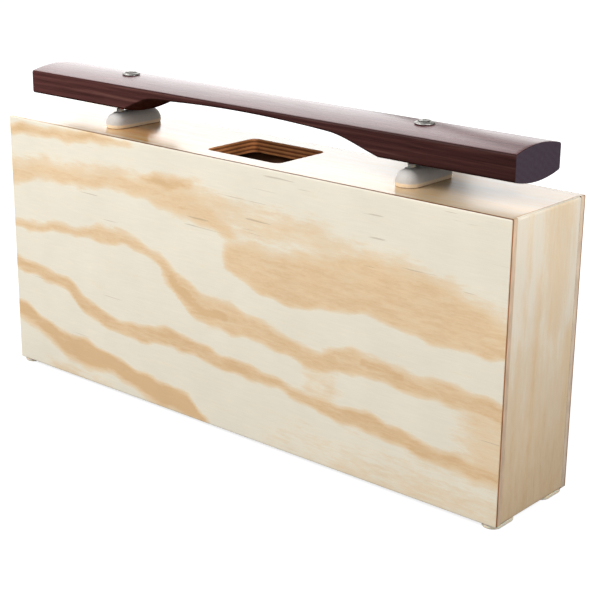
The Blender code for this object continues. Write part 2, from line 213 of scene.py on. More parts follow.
class StageSettings(bpy.types.PropertyGroup):
    """Camera, lamps and floor."""
    camera_place: place("Camera", (0.8045, -0.8923, 0.5028), "Where the camera stands")
    camera_target: place("Target", (0.0336, 0.0, 0.1207), "Point in the middle of the picture")
    camera_roll: bpy.props.FloatProperty(name="Roll", description="Turn of the camera about its view",
                                         default=math.radians(0.495), subtype="ANGLE")
    lens: share("Lens", 89.64, "Focal length in millimetres on a sensor 36 mm wide")
    ambient: share("Ambient", 0.28, "Strength of the even light from all around")
    front: share("Front", 25.0, "Power of the lamp in front on the left, in watts")
    right: share("Right", 2.8, "Power of the small lamp above the right end, in watts")
    fill: share("Fill", 6.0, "Power of the weak, broad lamp in front on the right, in watts")
    back: share("Back", 15.6, "Power of the large lamp behind on the left, in watts")
    back_right: share("Back right", 3.75, "Power of the lamp behind on the right, in watts")
    floor_glow: share("Floor glow", 0.84, "White that the floor shows in the object's shadow")


class ResonatorBarSettings(bpy.types.PropertyGroup):
    """Everything that a user may change."""
    bar: bpy.props.PointerProperty(type=BarSizes, name="Bar")
    box: bpy.props.PointerProperty(type=BoxSizes, name="Box")
    fittings: bpy.props.PointerProperty(type=FittingSizes, name="Fittings")
    colours: bpy.props.PointerProperty(type=Colours, name="Colours")
    stage: bpy.props.PointerProperty(type=StageSettings, name="Stage")


def smooth_step(value):
    """Rise from 0 to 1 with level ends: 3v^2 - 2v^3 on v held between 0 and 1."""
    value = np.clip(value, 0.0, 1.0)
    return value * value * (3 - 2 * value)


def grid_quads(rows, columns, wrap_rows=False, wrap_columns=False):
    """Corner numbers of a grid's quads, row by row; a wrapped side joins its last line to its first."""
    number = np.arange(rows * columns).reshape(rows, columns)
    if wrap_rows:
        number = np.vstack((number, number[:1]))
    if wrap_columns:
        number = np.hstack((number, number[:, :1]))
    corners = (number[:-1, :-1], number[1:, :-1], number[1:, 1:], number[:-1, 1:])
    return np.stack(corners, -1).reshape(-1, 4)


def shade(mesh, crease=math.radians(20)):
    """Smooth shading, with a sharp edge wherever two faces meet at more than the crease angle."""
    mesh.shade_smooth()
    mesh.set_sharp_from_angle(angle=crease)


def surface_mesh(name, points, quads):
    """Put points and quads into a mesh, join what coincides and turn the faces outwards."""
    mesh = bpy.data.meshes.new(name)
    mesh.vertices.add(len(points))
    mesh.vertices.foreach_set("co", np.asarray(points, np.float32).ravel())
    mesh.loops.add(quads.size)
    mesh.loops.foreach_set("vertex_index", np.asarray(quads, np.int32).ravel())
    mesh.polygons.add(len(quads))
    mesh.polygons.foreach_set("loop_start", np.arange(0, quads.size, 4, dtype=np.int32))
    mesh.update(calc_edges=True)
    work = bmesh.new()
    work.from_mesh(mesh)
    bmesh.ops.remove_doubles(work, verts=work.verts, dist=WELD)
    bmesh.ops.dissolve_degenerate(work, edges=work.edges, dist=WELD)
    bmesh.ops.recalc_face_normals(work, faces=work.faces)
    work.to_mesh(mesh)
    work.free()
    shade(mesh)
    return mesh


def tube_mesh(name, x, y, z, closed=False):
    """Mesh on a grid that the coordinates are spread to. Each row is a ring that runs all the way
    round; a closed tube's last ring is joined to its first."""
    points = np.stack(np.broadcast_arrays(x, y, z), -1)
    quads = grid_quads(*points.shape[:2], wrap_rows=closed, wrap_columns=True)
    return surface_mesh(name, points.reshape(-1, 3), quads)


def turned_mesh(name, profile, centre, closed=False, steps=64):
    """Surface of revolution: radius and height of the profile, swept round an upright axis."""
    profile = np.asarray(profile, float)
    turn = np.linspace(0, 2 * math.pi, steps, endpoint=False)
    radius = profile[:, :1]
    return tube_mesh(name, centre[0] + radius * np.cos(turn), centre[1] + radius * np.sin(turn),
                     centre[2] + profile[:, 1:], closed)


def arc(centre, radii, start, end, steps):
    """Points of an ellipse's or a circle's arc, from one angle in degrees to another."""
    angle = np.radians(np.linspace(start, end, steps))
    return centre + np.column_stack((np.cos(angle), np.sin(angle))) * radii


def rounded_lines(low, high, radius, step):
    """Grid lines of one side of a rounded box: even in the middle, closer in the rounding."""
    slope = np.tan(np.radians((45, 30, 15)))
    count = max(2, int(math.ceil((high - low) / step)))
    middle = np.linspace(low + radius, high - radius, count + 1)
    return np.concatenate((low + radius * (1 - slope), middle, (high - radius * (1 - slope))[::-1]))


def rounded_box(low, high, radius, steps, square=()):
    """Rounded box: each point of a box's six gridded faces is moved to the nearest point of the
    box shrunk by the radius, and out from there by the radius along the line between the two.
    Square may name an axis and the side, -1 or 1, whose face keeps square edges: the box isn't
    shrunk there."""
    low = np.array(low, float)
    high = np.array(high, float)
    lines = [rounded_lines(low[axis], high[axis], radius, steps[axis]) for axis in range(3)]
    points = []
    quads = []
    count = 0
    for axis in range(3):
        first, second = [other for other in range(3) if other != axis]
        across, up = np.meshgrid(lines[first], lines[second], indexing="ij")
        for level in (low[axis], high[axis]):
            face = np.empty(across.shape + (3,))
            face[..., axis] = level
            face[..., first] = across
            face[..., second] = up
            points.append(face.reshape(-1, 3))
            quads.append(grid_quads(*across.shape) + count)
            count += across.size
    points = np.concatenate(points)
    core_low = low + radius
    core_high = high - radius
    if square:
        axis, side = square
        core_low[axis] -= radius * (side < 0)
        core_high[axis] += radius * (side > 0)
    core = np.clip(points, core_low, core_high)
    out = points - core
    length = np.linalg.norm(out, axis=1, keepdims=True)
    points = core + radius * out / np.maximum(length, WELD)
    return points, np.concatenate(quads)


def mitred_loop(half, thick, rounding, step):
    """Closed outline of a mitred board as place along it and depth below its outer face: along the
    outer face, an eighth of a circle down to each mitre, and back along the inner face."""
    turn = np.radians((11.25, 22.5, 33.75, 45))
    shoulder = half - rounding
    face = np.linspace(-shoulder, shoulder, int(2 * shoulder / step) + 2)
    outer = np.column_stack((face, np.zeros(len(face))))
    over = np.column_stack((shoulder + rounding * np.sin(turn), rounding * (1 - np.cos(turn))))
    back = np.linspace(half - thick, thick - half, 24)
    inner = np.column_stack((back, np.full(len(back), thick)))
    return np.concatenate((outer, over, inner, (over * (-1, 1))[::-1]))


def board_mesh(name, low, high, axis, along, outside, box, step):
    """Mitred board: its outline swept across the box. At both long edges the outline draws in by
    the edge's rounding, and then closes on the line along the board's middle. Axis goes through the
    board, along runs with it, and outside is 1 where its outer face looks to higher coordinates."""
    half = (high[along] - low[along]) / 2 + box.mitre
    thick = high[axis] - low[axis]
    edge = box.board_edge
    spot, depth = mitred_loop(half, thick, box.corner, step).T
    rows = int((high.y - low.y) / step) + 2
    across = np.linspace(low.y + edge, high.y - edge, rows)
    across = np.concatenate(((low.y, low.y), across, (high.y, high.y)))[:, None]
    drawn_in = (0.0, 1 - 2 * edge / thick)
    keep = np.concatenate((drawn_in, np.ones(rows), drawn_in[::-1]))[:, None]
    reach = half - thick / 2
    line = np.clip(spot, -reach, reach)
    depth = thick / 2 + (depth - thick / 2) * keep
    place_at = [across] * 3
    place_at[along] = (high[along] + low[along]) / 2 + line + (spot - line) * keep
    place_at[axis] = high[axis] - depth if outside > 0 else low[axis] + depth
    return tube_mesh(name, *place_at)


def ring_outline(inner, gap, rise, straight):
    """Outline round a rectangle, anticlockwise: for each corner its bend, then the straight run to
    the next one. Inner is the rectangle's half sizes, gap how far the outline lies outside its
    sides, and rise how much of the gap each point of a bend has gained."""
    inner_x, inner_y = inner
    gap_x, gap_y = gap
    run = np.linspace(1, -1, straight + 2)[1:-1]
    fall = rise[::-1]
    x = np.concatenate((inner_x + gap_x * fall, inner_x * run, -inner_x - gap_x * rise,
                        np.full(straight, -inner_x - gap_x)))
    y = np.concatenate((inner_y + gap_y * rise, np.full(straight, inner_y + gap_y),
                        inner_y + gap_y * fall, inner_y * run))
    return np.concatenate((x, -x)), np.concatenate((y, -y))


def holed_board_mesh(name, low, high, box):
    """Top board: a closed ring of outlines, up the sound hole's wall, over its rounded rim, out
    across the top, down the mitred ends and back underneath to the hole. The hole's outlines bend
    as a quarter circle, and the board's outlines as a sharp corner. Two outlines close to the rim
    and to the outer edge keep the top flat between them."""
    straight, bend = 10, 12
    inner = np.array((box.hole_length, box.hole_width)) / 2 - box.hole_corner
    outer = np.array((high.x - low.x, high.y - low.y)) / 2 + (box.mitre, 0.0) - inner
    thick = high.z - low.z
    rim = box.hole_rim
    rounded = np.sin(np.linspace(0, math.pi / 2, bend + 1))
    sharp = np.clip(np.linspace(0, 2, bend + 1), 0, 1)
    wall = [(rim * (1 - math.cos(turn)), rim * (1 - math.sin(turn)))
            for turn in np.radians((0, 30, 60, 90))]
    holes = [(grow, low.z + inset) for grow, inset in wall[::-1]]
    holes += [(grow, high.z - inset) for grow, inset in wall]
    holes.append((2 * rim, high.z))
    edges = [(box.corner * (1 - math.sin(turn)), 0.0, box.corner * (1 - math.cos(turn)))
             for turn in np.radians((0, 11.25, 22.5, 33.75, 45))]
    edges = [(box.corner + rim, rim, 0.0), *edges, (thick, 0.0, thick)]
    rings = [((box.hole_corner + grow,) * 2, rounded, height) for grow, height in holes]
    rings += [(outer - edge[:2], sharp, high.z - edge[2]) for edge in edges]
    outlines = np.array([ring_outline(inner, gap, rise, straight) for gap, rise, height in rings])
    heights = np.array([height for gap, rise, height in rings])[:, None]
    return tube_mesh(name, outlines[:, 0], outlines[:, 1], heights, closed=True)


def undercut(x, bar, side_height):
    """How far the underside is lifted: a shallow arch times a steep smooth ramp on the left and a
    long one on the right, all let down by the crown, and nothing where that is below the side."""
    arch = side_height - bar.crest - (x - bar.arch_centre) ** 2 / (2 * bar.arch_radius)
    left = smooth_step((x - bar.left_foot) / bar.left_ramp)
    right = smooth_step((bar.right_foot - x) / bar.right_ramp)
    return np.maximum((arch + bar.crown) * left * right - bar.crown, 0.0)


def bar_mesh(name, bar):
    """Tone bar on a grid of stations along it and points round its section.

    The section has flat sides, circular crowns above and below, and round long edges: an edge's
    centre is where the crown's circle and the side, both moved in by the edge's radius, cross.
    The undercut lifts the lower half of the section. Near an end the whole section is moved in
    along a quarter circle, and past it the section shrinks to the middle of the end."""
    half = bar.width / 2
    crown_radius = (half ** 2 + bar.crown ** 2) / (2 * bar.crown)
    bottom = BAR_LOW.z + bar.crown
    top = BAR_HIGH.z - bar.crown
    reach = bar.length / 2 - bar.end_edge
    spots = (-reach, bar.left_foot, bar.left_foot + bar.left_ramp,
             bar.right_foot - bar.right_ramp, bar.right_foot, reach)
    counts = (40, 90, 60, 120, 30)
    along = np.unique(np.concatenate([np.linspace(*run) for run in zip(spots, spots[1:], counts)]))
    turn = np.radians((22.5, 45, 67.5, 90))
    shrink = (0.75, 0.5, 0.25, 0.0)
    end_x = np.concatenate((reach + bar.end_edge * np.sin(turn), np.full(4, bar.length / 2)))
    end_inset = np.concatenate((bar.end_edge * (1 - np.cos(turn)), np.full(4, bar.end_edge)))
    end_size = np.concatenate((np.ones(4), shrink))
    x = np.concatenate((-end_x[::-1], along, end_x))[:, None]
    inset = np.concatenate((end_inset[::-1], np.zeros(len(along)), end_inset))[:, None]
    size = np.concatenate((end_size[::-1], np.ones(len(along)), end_size))[:, None]

    side = half - inset
    radius = crown_radius - inset
    edge = bar.edge - inset
    upper_centre = top + bar.crown - crown_radius
    lower_centre = bottom - bar.crown + crown_radius + undercut(x, bar, top - bottom)
    edge_y = side - edge
    drop = np.sqrt((radius - edge) ** 2 - edge_y ** 2)
    upper_edge = upper_centre + drop
    lower_edge = lower_centre - drop
    lean = np.arctan2(drop, edge_y)

    corner = lean * np.linspace(0, 1, 8)
    rise = np.linspace(0, 1, 6)[1:-1]
    corner_y = edge_y + edge * np.cos(corner)
    side_y = np.concatenate((corner_y[:, ::-1], side + 0 * rise, corner_y), 1)
    side_z = np.concatenate((lower_edge - edge * np.sin(corner[:, ::-1]),
                             lower_edge + (upper_edge - lower_edge) * rise,
                             upper_edge + edge * np.sin(corner)), 1)
    crown_y = corner_y[:, -1:] * np.linspace(1, -1, 42)[1:-1]
    crown_z = np.sqrt(radius ** 2 - crown_y ** 2)
    y = np.concatenate((side_y, crown_y, -side_y[:, ::-1], -crown_y), 1)
    z = np.concatenate((side_z, upper_centre + crown_z, side_z[:, ::-1], lower_centre - crown_z), 1)
    middle = (bottom + top) / 2
    return tube_mesh(name, x, y * size, middle + (z - middle) * size)


def round_ended(line, distance):
    """Round-ended outlines, anticlockwise: for each distance, the points that are so far from a
    straight line along Y with the given half length. The second half mirrors the first."""
    turn = np.linspace(0, math.pi, 25)
    run = np.linspace(-1, 1, 18)[1:-1]
    distance = np.asarray(distance)[:, None]
    x = distance * np.concatenate((np.ones(len(run)), np.cos(turn)))
    y = distance * np.concatenate((np.zeros(len(run)), np.sin(turn)))
    y = y + line * np.concatenate((run, np.ones(len(turn))))
    return np.hstack((x, -x)), np.hstack((y, -y))


def cushion_mesh(name, centre_x, fittings, hole):
    """Loaf cushion on a grid of round-ended outlines. Their distance follows a belly: in at the
    base, full at the belly's height, then a quarter ellipse over the top to the middle, where the
    screw's hole goes down again. Along Y the outlines are drawn together towards the back end."""
    half_x = (PAD_HIGH.x - PAD_LOW.x) / 2
    line = (PAD_HIGH.y - PAD_LOW.y) / 2 - half_x
    height = PAD_HIGH.z - PAD_LOW.z
    foot = fittings.pad_foot
    belly = fittings.pad_belly
    hole_edge = hole / 2 + 0.0006
    base = arc((half_x - 2 * foot, foot), foot, -90, 0, 5)
    wall = np.linspace(0, 1, 6)[1:]
    swell = np.column_stack((half_x - foot * (1 - np.sin(wall * math.pi / 2)),
                             foot + (belly - foot) * wall))
    dome = arc((0, belly), (half_x, height - belly), 0, 84, 16)[1:]
    flat = np.column_stack((np.linspace(dome[-1, 0], hole_edge, 4)[1:], np.full(3, height)))
    profile = np.concatenate((base, swell, dome, flat))
    outline_x, outline_y = round_ended(line, profile[:, 0])
    shorter = 1 - fittings.pad_pull / (2 * PAD_HIGH.y)
    outline_y = PAD_HIGH.y - (PAD_HIGH.y - outline_y) * shorter
    round_x, round_y = round_ended(line, (half_x, half_x))
    scale = hole / 2 / np.hypot(round_x, round_y)
    rise = np.concatenate((profile[:, 1], (height, 0.0)))[:, None]
    return tube_mesh(name, centre_x + np.concatenate((outline_x, round_x * scale)),
                     np.concatenate((outline_y, round_y * scale)), PAD_LOW.z + rise, closed=True)


def foot_mesh(name, centre, fittings):
    """Oblong foot on a grid of round-ended outlines: out from the middle line of its top, over a
    small edge, down to a round lower edge, and in again to the middle line."""
    half_x = (FOOT_HIGH.x - FOOT_LOW.x) / 2
    line = (FOOT_HIGH.y - FOOT_LOW.y) / 2 - half_x
    height = FOOT_HIGH.z - FOOT_LOW.z
    edge = fittings.foot_edge
    rounding = fittings.foot_rounding
    profile = np.concatenate(([(0, height)], arc((half_x - edge, height - edge), edge, 90, 0, 4),
                              arc((half_x - rounding, rounding), rounding, 0, -90, 8), [(0, 0)]))
    outline_x, outline_y = round_ended(line, profile[:, 0])
    return tube_mesh(name, centre[0] + outline_x, centre[1] + outline_y, FOOT_LOW.z + profile[:, 1:])


def dress(piece, material):
    """Give a piece one material."""
    piece.data.materials.clear()
    piece.data.materials.append(material)


def cut_out(piece, cutter_mesh):
    """Take a shape out of a piece for good; the piece keeps its one material."""
    material = piece.data.materials[0]
    cutter = bpy.data.objects.new("cutter", cutter_mesh)
    bpy.context.scene.collection.objects.link(cutter)
    boolean = piece.modifiers.new("cut", "BOOLEAN")
    boolean.operation = "DIFFERENCE"
    boolean.solver = "EXACT"
    boolean.object = cutter
    evaluated = piece.evaluated_get(bpy.context.evaluated_depsgraph_get())
    mesh = bpy.data.meshes.new_from_object(evaluated)
    piece.modifiers.clear()
    piece.data = mesh
    bpy.data.objects.remove(cutter, do_unlink=True)
    if len(mesh.polygons) < 6:
        raise RuntimeError("the cut left nothing of " + piece.name)
    shade(mesh)
    dress(piece, material)


def drill(piece, diameter, low, high):
    """Drill the two screws' holes through wood that lies between two heights."""
    radius = diameter / 2
    start = low - DRILL_REACH
    end = high + DRILL_REACH
    rod = [(0, start), (radius, start), (radius, end), (0, end)]
    for sign in SIDES.values():
        cut_out(piece, turned_mesh("rod", rod, (sign * SUPPORT_X, 0, 0), steps=48))


def screw_profile(sizes):
    """Half outline of a bar screw, from the top of its domed head down its cone and shank to the
    tip: radius and height."""
    head = (SCREW_HIGH.x - SCREW_LOW.x) / 2
    shank = sizes.shank / 2
    rim = SCREW_HIGH.z - sizes.head_dome
    dome = arc((0, rim), (head, sizes.head_dome), 90, 4, 12)
    under = rim - sizes.head_rim
    return np.concatenate((dome, [(head, under), (shank, under - (head - shank)),
                                  (shank, SCREW_LOW.z + sizes.tip), (0, SCREW_LOW.z)]))


def cup_profile(sizes, hole):
    """Closed outline of a cup washer: over its rolled lip, down a quarter ellipse to the outer rim,
    and back along its flat foot to the hole: radius and height."""
    outer = (CUP_HIGH.x - CUP_LOW.x) / 2
    height = CUP_HIGH.z - CUP_LOW.z
    mouth = sizes.cup_mouth / 2
    lip = sizes.cup_lip
    roll = lip / 2
    rim = sizes.cup_rim
    over = arc((mouth + roll, height - roll), roll, 225, 70, 7)
    down = arc((mouth + lip, rim), (outer - mouth - lip, height - lip / 3 - rim), 82, 0, 9)
    return np.concatenate((over, down, [(outer, EASED), (outer - EASED, 0.0), (hole / 2, 0.0)]))


def cut_recess(piece, x, sizes):
    """Cut the two crossed slots of the recess into a screw's head."""
    depth = sizes.recess_depth
    slot = (sizes.recess_span / 2, sizes.recess_width / 2)
    for half_x, half_y in (slot, slot[::-1]):
        low = (x - half_x, -half_y, SCREW_HIGH.z - depth)
        high = (x + half_x, half_y, SCREW_HIGH.z + depth)
        cut_out(piece, surface_mesh("recess", *rounded_box(low, high, EASED, (1.0, 1.0, 1.0))))


def stud_profile(height, sizes):
    """Half outline of a soft stud: a flat foot, a side that curves in along half a sine wave, and a
    round upper edge: radius and height."""
    radius = (STUD_HIGH.x - STUD_LOW.x) / 2
    rounding = sizes.stud_rounding
    up = np.linspace(0, 1, 9)
    side = np.column_stack((radius - sizes.stud_waist * np.sin(up * math.pi),
                            EASED + (height - rounding - EASED) * up))
    edge = arc((radius - rounding, height - rounding), rounding, 0, 90, 8)[1:]
    return np.concatenate(([(0, 0), (radius - EASED, 0)], side, edge, [(0, height)]))


# Courses of the late wood on the front panel, in millimetres from the panel's middle and lower edge:
# place along, lower edge, upper edge. Then the softness of both edges, the strength and the length
# over which the course fades past its ends.
FLAME = (
    ([(-275, 218, 228), (-245, 222, 232), (-215, 225, 235), (-165, 226, 236), (-135, 229, 235),
      (-115, 232, 234)], 4, 4, 0.85, 10),
    ([(-275, 173, 195), (-225, 183, 203), (-175, 187, 205), (-125, 189, 207), (-75, 186, 209),
      (-45, 180, 208), (-15, 173, 196), (5, 170, 186)], 5, 12, 0.70, 14),
    ([(-98, 206, 208), (-82, 201, 213), (-60, 200, 214), (-40, 204, 210)], 7, 8, 1.05, 10),
    ([(-60, 180, 214), (25, 177, 206), (95, 177, 203), (155, 172, 192), (225, 163, 182), (275, 153, 167)],
     8, 14, 0.45, 20),
    ([(2, 146, 166), (8, 139, 170), (35, 133, 174), (70, 129, 172), (105, 131, 178), (135, 137, 188),
      (150, 140, 192), (175, 137, 185), (200, 130, 183), (225, 128, 180), (250, 131, 172), (275, 134, 162)],
     3, 12, 0.76, 8),
    ([(-275, 132, 140), (-225, 134, 142), (-175, 139, 148), (-155, 140, 156), (-130, 141, 154),
      (-100, 138, 147), (-75, 131, 140), (-66, 115, 137), (-56, 104, 131), (-35, 94, 120), (0, 90, 115),
      (35, 87, 108), (65, 87, 104), (95, 81, 96), (125, 83, 104), (150, 87, 107), (190, 87, 104),
      (225, 85, 102), (275, 82, 99)], 3, 5, 0.80, 8),
    ([(-66, 119, 133), (-58, 108, 128), (-35, 99, 113), (0, 95, 108)], 6, 7, 1.05, 14),
    ([(145, 92, 104), (165, 94, 106), (185, 92, 102)], 6, 6, 1.0, 14),
    ([(255, 30, 96), (290, 26, 98)], 10, 10, 0.55, 32),
    ([(-275, 90, 104), (-225, 88, 99), (-205, 85, 95), (-187, 70, 88), (-175, 62, 78), (-150, 58, 73),
      (-125, 57, 70), (-75, 59, 76), (-25, 58, 72), (25, 54, 66), (75, 51, 59), (105, 47, 59),
      (150, 41, 57), (200, 38, 52), (240, 35, 47), (275, 32, 44)], 3, 4, 0.88, 8),
    ([(90, 52, 92), (98, 52, 98), (108, 52, 98), (116, 52, 92)], 6, 8, 0.30, 14),
    ([(-275, 40, 58), (-250, 36, 52), (-225, 27, 44), (-200, 16, 42), (-175, 14, 39), (-150, 14, 32),
      (-125, 12, 30), (-100, 5, 27), (-75, 2, 25), (-50, 1, 20), (-35, -2, 12), (-26, -6, 0)],
     7, 4, 1.05, 8),
    ([(-215, 22, 38), (-175, 20, 36), (-135, 16, 28), (-90, 8, 24), (-55, 4, 18)], 7, 6, 1.1, 20),
    ([(-225, -6, 12), (-190, -6, 9), (-150, -6, 4)], 4, 8, 0.35, 20),
    ([(130, -20, 30), (290, -20, 34)], 10, 24, 0.30, 160),
)

# Courses on the right end panel: place up the panel, then the front and back edge of the stripe
STRIPES = (
    ([(0, -40, -26), (60, -39, -27), (110, -38, -27), (130, -35, -27)], 7, 8, 0.62, 25),
    ([(120, -30, -24), (180, -29, -22), (240, -28, -21)], 6, 6, 0.42, 25),
    ([(10, -16, -2), (50, -17, -2), (90, -16, -2), (120, -14, -3), (150, -12, -4), (185, -10, -4)],
     8, 8, 0.66, 20),
    ([(140, 2, 28), (175, -2, 32), (215, -6, 34), (240, -6, 34)], 12, 14, 0.46, 25),
    ([(0, 28, 46), (60, 29, 46), (115, 30, 46), (130, 33, 46)], 9, 4, 0.62, 20),
    ([(-10, -70, 70), (30, -70, 70)], 10, 10, 0.62, 160),
)


def figure(along, across, courses, sway):
    """Strength of the late wood at each point, from 0 to 1: for every course, how far the point is
    inside its lower and its upper edge, each over 1.4 times that edge's softness and with the edge
    itself at one half, times the course's strength and its fade past the ends; the strongest course
    counts. The edges are straight runs between the given places, evened out over 10 mm to each
    side, and the point is first shifted by a few slow waves, which are as large as the sway."""
    along = np.asarray(along) * 1000
    across = np.asarray(across) * 1000
    wave = (1.6 * np.sin(along / 17 + across / 31) + 1.0 * np.sin(along / 7.3 - across / 13 + 1.0)
            + 0.6 * np.sin(along / 3.9 + across / 9 + 2.0))
    across = across + sway * wave
    strength = np.zeros_like(along)
    nearby = np.linspace(-10, 10, 7)
    for course, soft_low, soft_high, weight, fade in courses:
        place_along, low, high = np.array(course, float).T
        lower = np.mean([np.interp(along + shift, place_along, low) for shift in nearby], 0)
        upper = np.mean([np.interp(along + shift, place_along, high) for shift in nearby], 0)
        inside = np.minimum((across - lower) / soft_low, (upper - across) / soft_high) / 1.4 + 0.5
        gone = np.abs(along - np.clip(along, place_along[0], place_along[-1])) / fade
        strength = np.maximum(strength, weight * np.clip(inside, 0, 1) * np.clip(1 - gone, 0, 1))
    return strength


def mesh_points(mesh):
    """Coordinates of a mesh's points, one row for each."""
    flat = np.empty(len(mesh.vertices) * 3, np.float32)
    mesh.vertices.foreach_get("co", flat)
    return flat.reshape(-1, 3)


def carry_figure(mesh, along, across, courses, sway):
    """Store the late wood's strength on a mesh's points, whose places along and across the veneer
    are given."""
    strength = figure(along, across, courses, sway)
    attribute = mesh.attributes.new("figure", "FLOAT", "POINT")
    attribute.data.foreach_set("value", strength.astype(np.float32))


# How deep the top board's wood is along it, deeper round the two cushions in part as painted shade:
# place from its left end to its right, and depth, each from 0 to 1
TOP_DRIFT = ((0.0, 0.42), (0.16, 0.60), (0.24, 1.0), (0.33, 0.95), (0.46, 0.35), (0.66, 0.25),
             (0.79, 0.45), (0.90, 0.40), (1.0, 0.35))
# Plies of a frame board
PLIES = 7


class Nodes:
    """The nodes of a material or a world, with a short way to add and join them."""

    def __init__(self, owner):
        owner.use_nodes = True
        self.tree = owner.node_tree

    def add(self, kind, inputs=(), **settings):
        """Add a node, set it up, and give each named input a value or another node's output."""
        node = self.tree.nodes.new("ShaderNode" + kind)
        for key, value in settings.items():
            setattr(node, key, value)
        for key, value in dict(inputs).items():
            self.give(node.inputs[key], value)
        return node

    def give(self, socket, value):
        """Set an input, or join an output to it."""
        if isinstance(value, bpy.types.NodeSocket):
            self.tree.links.new(value, socket)
        else:
            socket.default_value = value

    def maths(self, operation, first, second=0.0):
        """One sum on one or two values."""
        return self.add("Math", {0: first, 1: second}, operation=operation).outputs[0]

    def spread(self, value, low, high, start=0.0, end=1.0):
        """Carry a value from one range to another, held at the ends."""
        node = self.add("MapRange", {"Value": value, "From Min": low, "From Max": high,
                                     "To Min": start, "To Max": end})
        return node.outputs[0]


class Finish(Nodes):
    """A material on the Principled shader, placed by Object coordinates."""

    def __init__(self, name):
        self.material = bpy.data.materials.new(name)
        super().__init__(self.material)
        self.shader = self.tree.nodes["Principled BSDF"]
        self.place = self.add("TexCoord").outputs["Object"]

    def principled(self, **inputs):
        """Set or join the shader's own inputs; a name's underscores stand for spaces."""
        for key, value in inputs.items():
            self.give(self.shader.inputs[key.replace("_", " ")], value)

    def vary(self, noise, start, end):
        """Carry a noise from its usual range to another."""
        return self.spread(noise, 0.3, 0.7, start, end)

    def noise(self, scale, detail=4.0, rough=0.55, shift=(0, 0, 0), distortion=0.0):
        """Noise on Object coordinates, with its own number of features per metre along each axis."""
        mapping = self.add("Mapping", {"Vector": self.place, "Location": shift, "Scale": scale})
        node = self.add("TexNoise", {"Vector": mapping.outputs[0], "Scale": 1.0, "Detail": detail,
                                     "Roughness": rough, "Distortion": distortion})
        return node.outputs[0]

    def ramp(self, value, stops):
        """Colours at places from 0 to 1."""
        node = self.add("ValToRGB", {"Fac": value})
        elements = node.color_ramp.elements
        while len(elements) < len(stops):
            elements.new(1.0)
        for element, (position, tint) in zip(elements, stops):
            element.position = position
            element.color = (*tint, 1.0)
        return node.outputs[0]

    def levels(self, value, stops):
        """Plain values at places from 0 to 1."""
        return self.ramp(value, [(position, (level,) * 3) for position, level in stops])

    def mottle(self, value, pale, dark, part):
        """A pale colour that goes part of the way to a dark one where a noise is low."""
        return self.ramp(value, [(0.3, mid(pale, dark, part)), (0.7, pale)])

    def mix(self, factor, first, second, mode="MIX"):
        """Mix two colours."""
        node = self.add("Mix", data_type="RGBA", blend_type=mode)
        for number, value in ((0, factor), (6, first), (7, second)):
            if not isinstance(value, bpy.types.NodeSocket) and number:
                value = (*value, 1.0)
            self.give(node.inputs[number], value)
        return node.outputs[2]

    def shade_by(self, tint, value, low, high):
        """Darken or lighten a colour: it is multiplied by a value that is spread from low to high."""
        grey = self.spread(value, 0.25, 0.75, low, high)
        grey = self.add("CombineColor", {0: grey, 1: grey, 2: grey}).outputs[0]
        return self.mix(1.0, tint, grey, "MULTIPLY")

    def bump(self, height, strength, distance):
        """Small relief from a height."""
        node = self.add("Bump", {"Height": height, "Strength": strength, "Distance": distance})
        self.principled(Normal=node.outputs[0])

    def normal(self, axis):
        """How squarely the surface faces along an axis, from -1 to 1."""
        normal = self.add("NewGeometry").outputs["Normal"]
        return self.add("SeparateXYZ", {0: normal}).outputs[axis]

    def facing(self, axis):
        """How squarely the surface faces along an axis, either way, from 0 to 1."""
        return self.maths("ABSOLUTE", self.normal(axis))

    def coordinate(self, axis):
        """Object coordinate along one axis."""
        return self.add("SeparateXYZ", {0: self.place}).outputs[axis]

    def late_wood(self):
        """The late wood's strength that the mesh carries."""
        return self.add("Attribute", attribute_name="figure").outputs["Fac"]


def mid(first, second, part):
    """Colour part of the way from one to another."""
    return tuple(a + (b - a) * part for a, b in zip(first, second))


def grain(along, fine, slow):
    """Features per metre on each axis: slow along the grain and fine across it."""
    return [slow if axis == along else fine for axis in range(3)]


def veneer_colour(finish, woods, resin, strength, along, resinous=0.0):
    """Pine veneer: pale wood, greyer far from late wood, with late wood laid over it by strength,
    feathered along the grain, with fine growth lines, faint clouds and a few short resin streaks,
    more of them where the wood is resinous. Woods are the pale, middle and dark wood, and along is
    the axis that the grain follows. Returns the colour and the fine fibres."""
    feather = finish.noise(grain(along, 170, 34), 6.0, 0.8)
    late = finish.maths("ADD", strength, finish.spread(feather, 0.2, 0.8, -0.35, 0.35))
    pale, middle, dark = woods
    grey = mid(pale, [sum(pale) / 3] * 3, 0.10)
    tint = finish.ramp(late, [(0.0, grey), (0.14, pale), (0.40, mid(pale, middle, 0.60)),
                              (0.70, middle), (1.0, dark)])
    lines = finish.noise(grain(along, 420, 50), 3.0, 0.5, (3.1, 1.7, 5.3))
    cloud = finish.noise((22, 22, 22), 3.0, 0.5, (7.0, 2.0, 4.0))
    fibre = finish.noise(grain(along, 1500, 60), 2.0, 0.5)
    tint = finish.shade_by(tint, lines, 0.98, 1.015)
    tint = finish.shade_by(tint, cloud, 0.965, 1.025)
    tint = finish.shade_by(tint, fibre, 0.98, 1.015)
    dash = finish.noise(grain(along, 480, 15), 2.0, 0.4, (11.0, 5.0, 9.0))
    dash = finish.spread(finish.maths("ADD", dash, resinous), 0.75, 0.78, 0.0, 0.36)
    return finish.mix(dash, tint, resin), fibre


def depth_below(finish, axis, outer, thickness):
    """Depth below a board's outer face, from 0 to 1."""
    distance = finish.maths("ABSOLUTE", finish.maths("SUBTRACT", finish.coordinate(axis), outer))
    return finish.maths("DIVIDE", distance, thickness)


def raw_inside(finish, tint, depth, colours):
    """A board's colour, with raw ply on its inner face."""
    return finish.mix(finish.spread(depth, 0.93, 0.97), tint, colours.ply_inside)


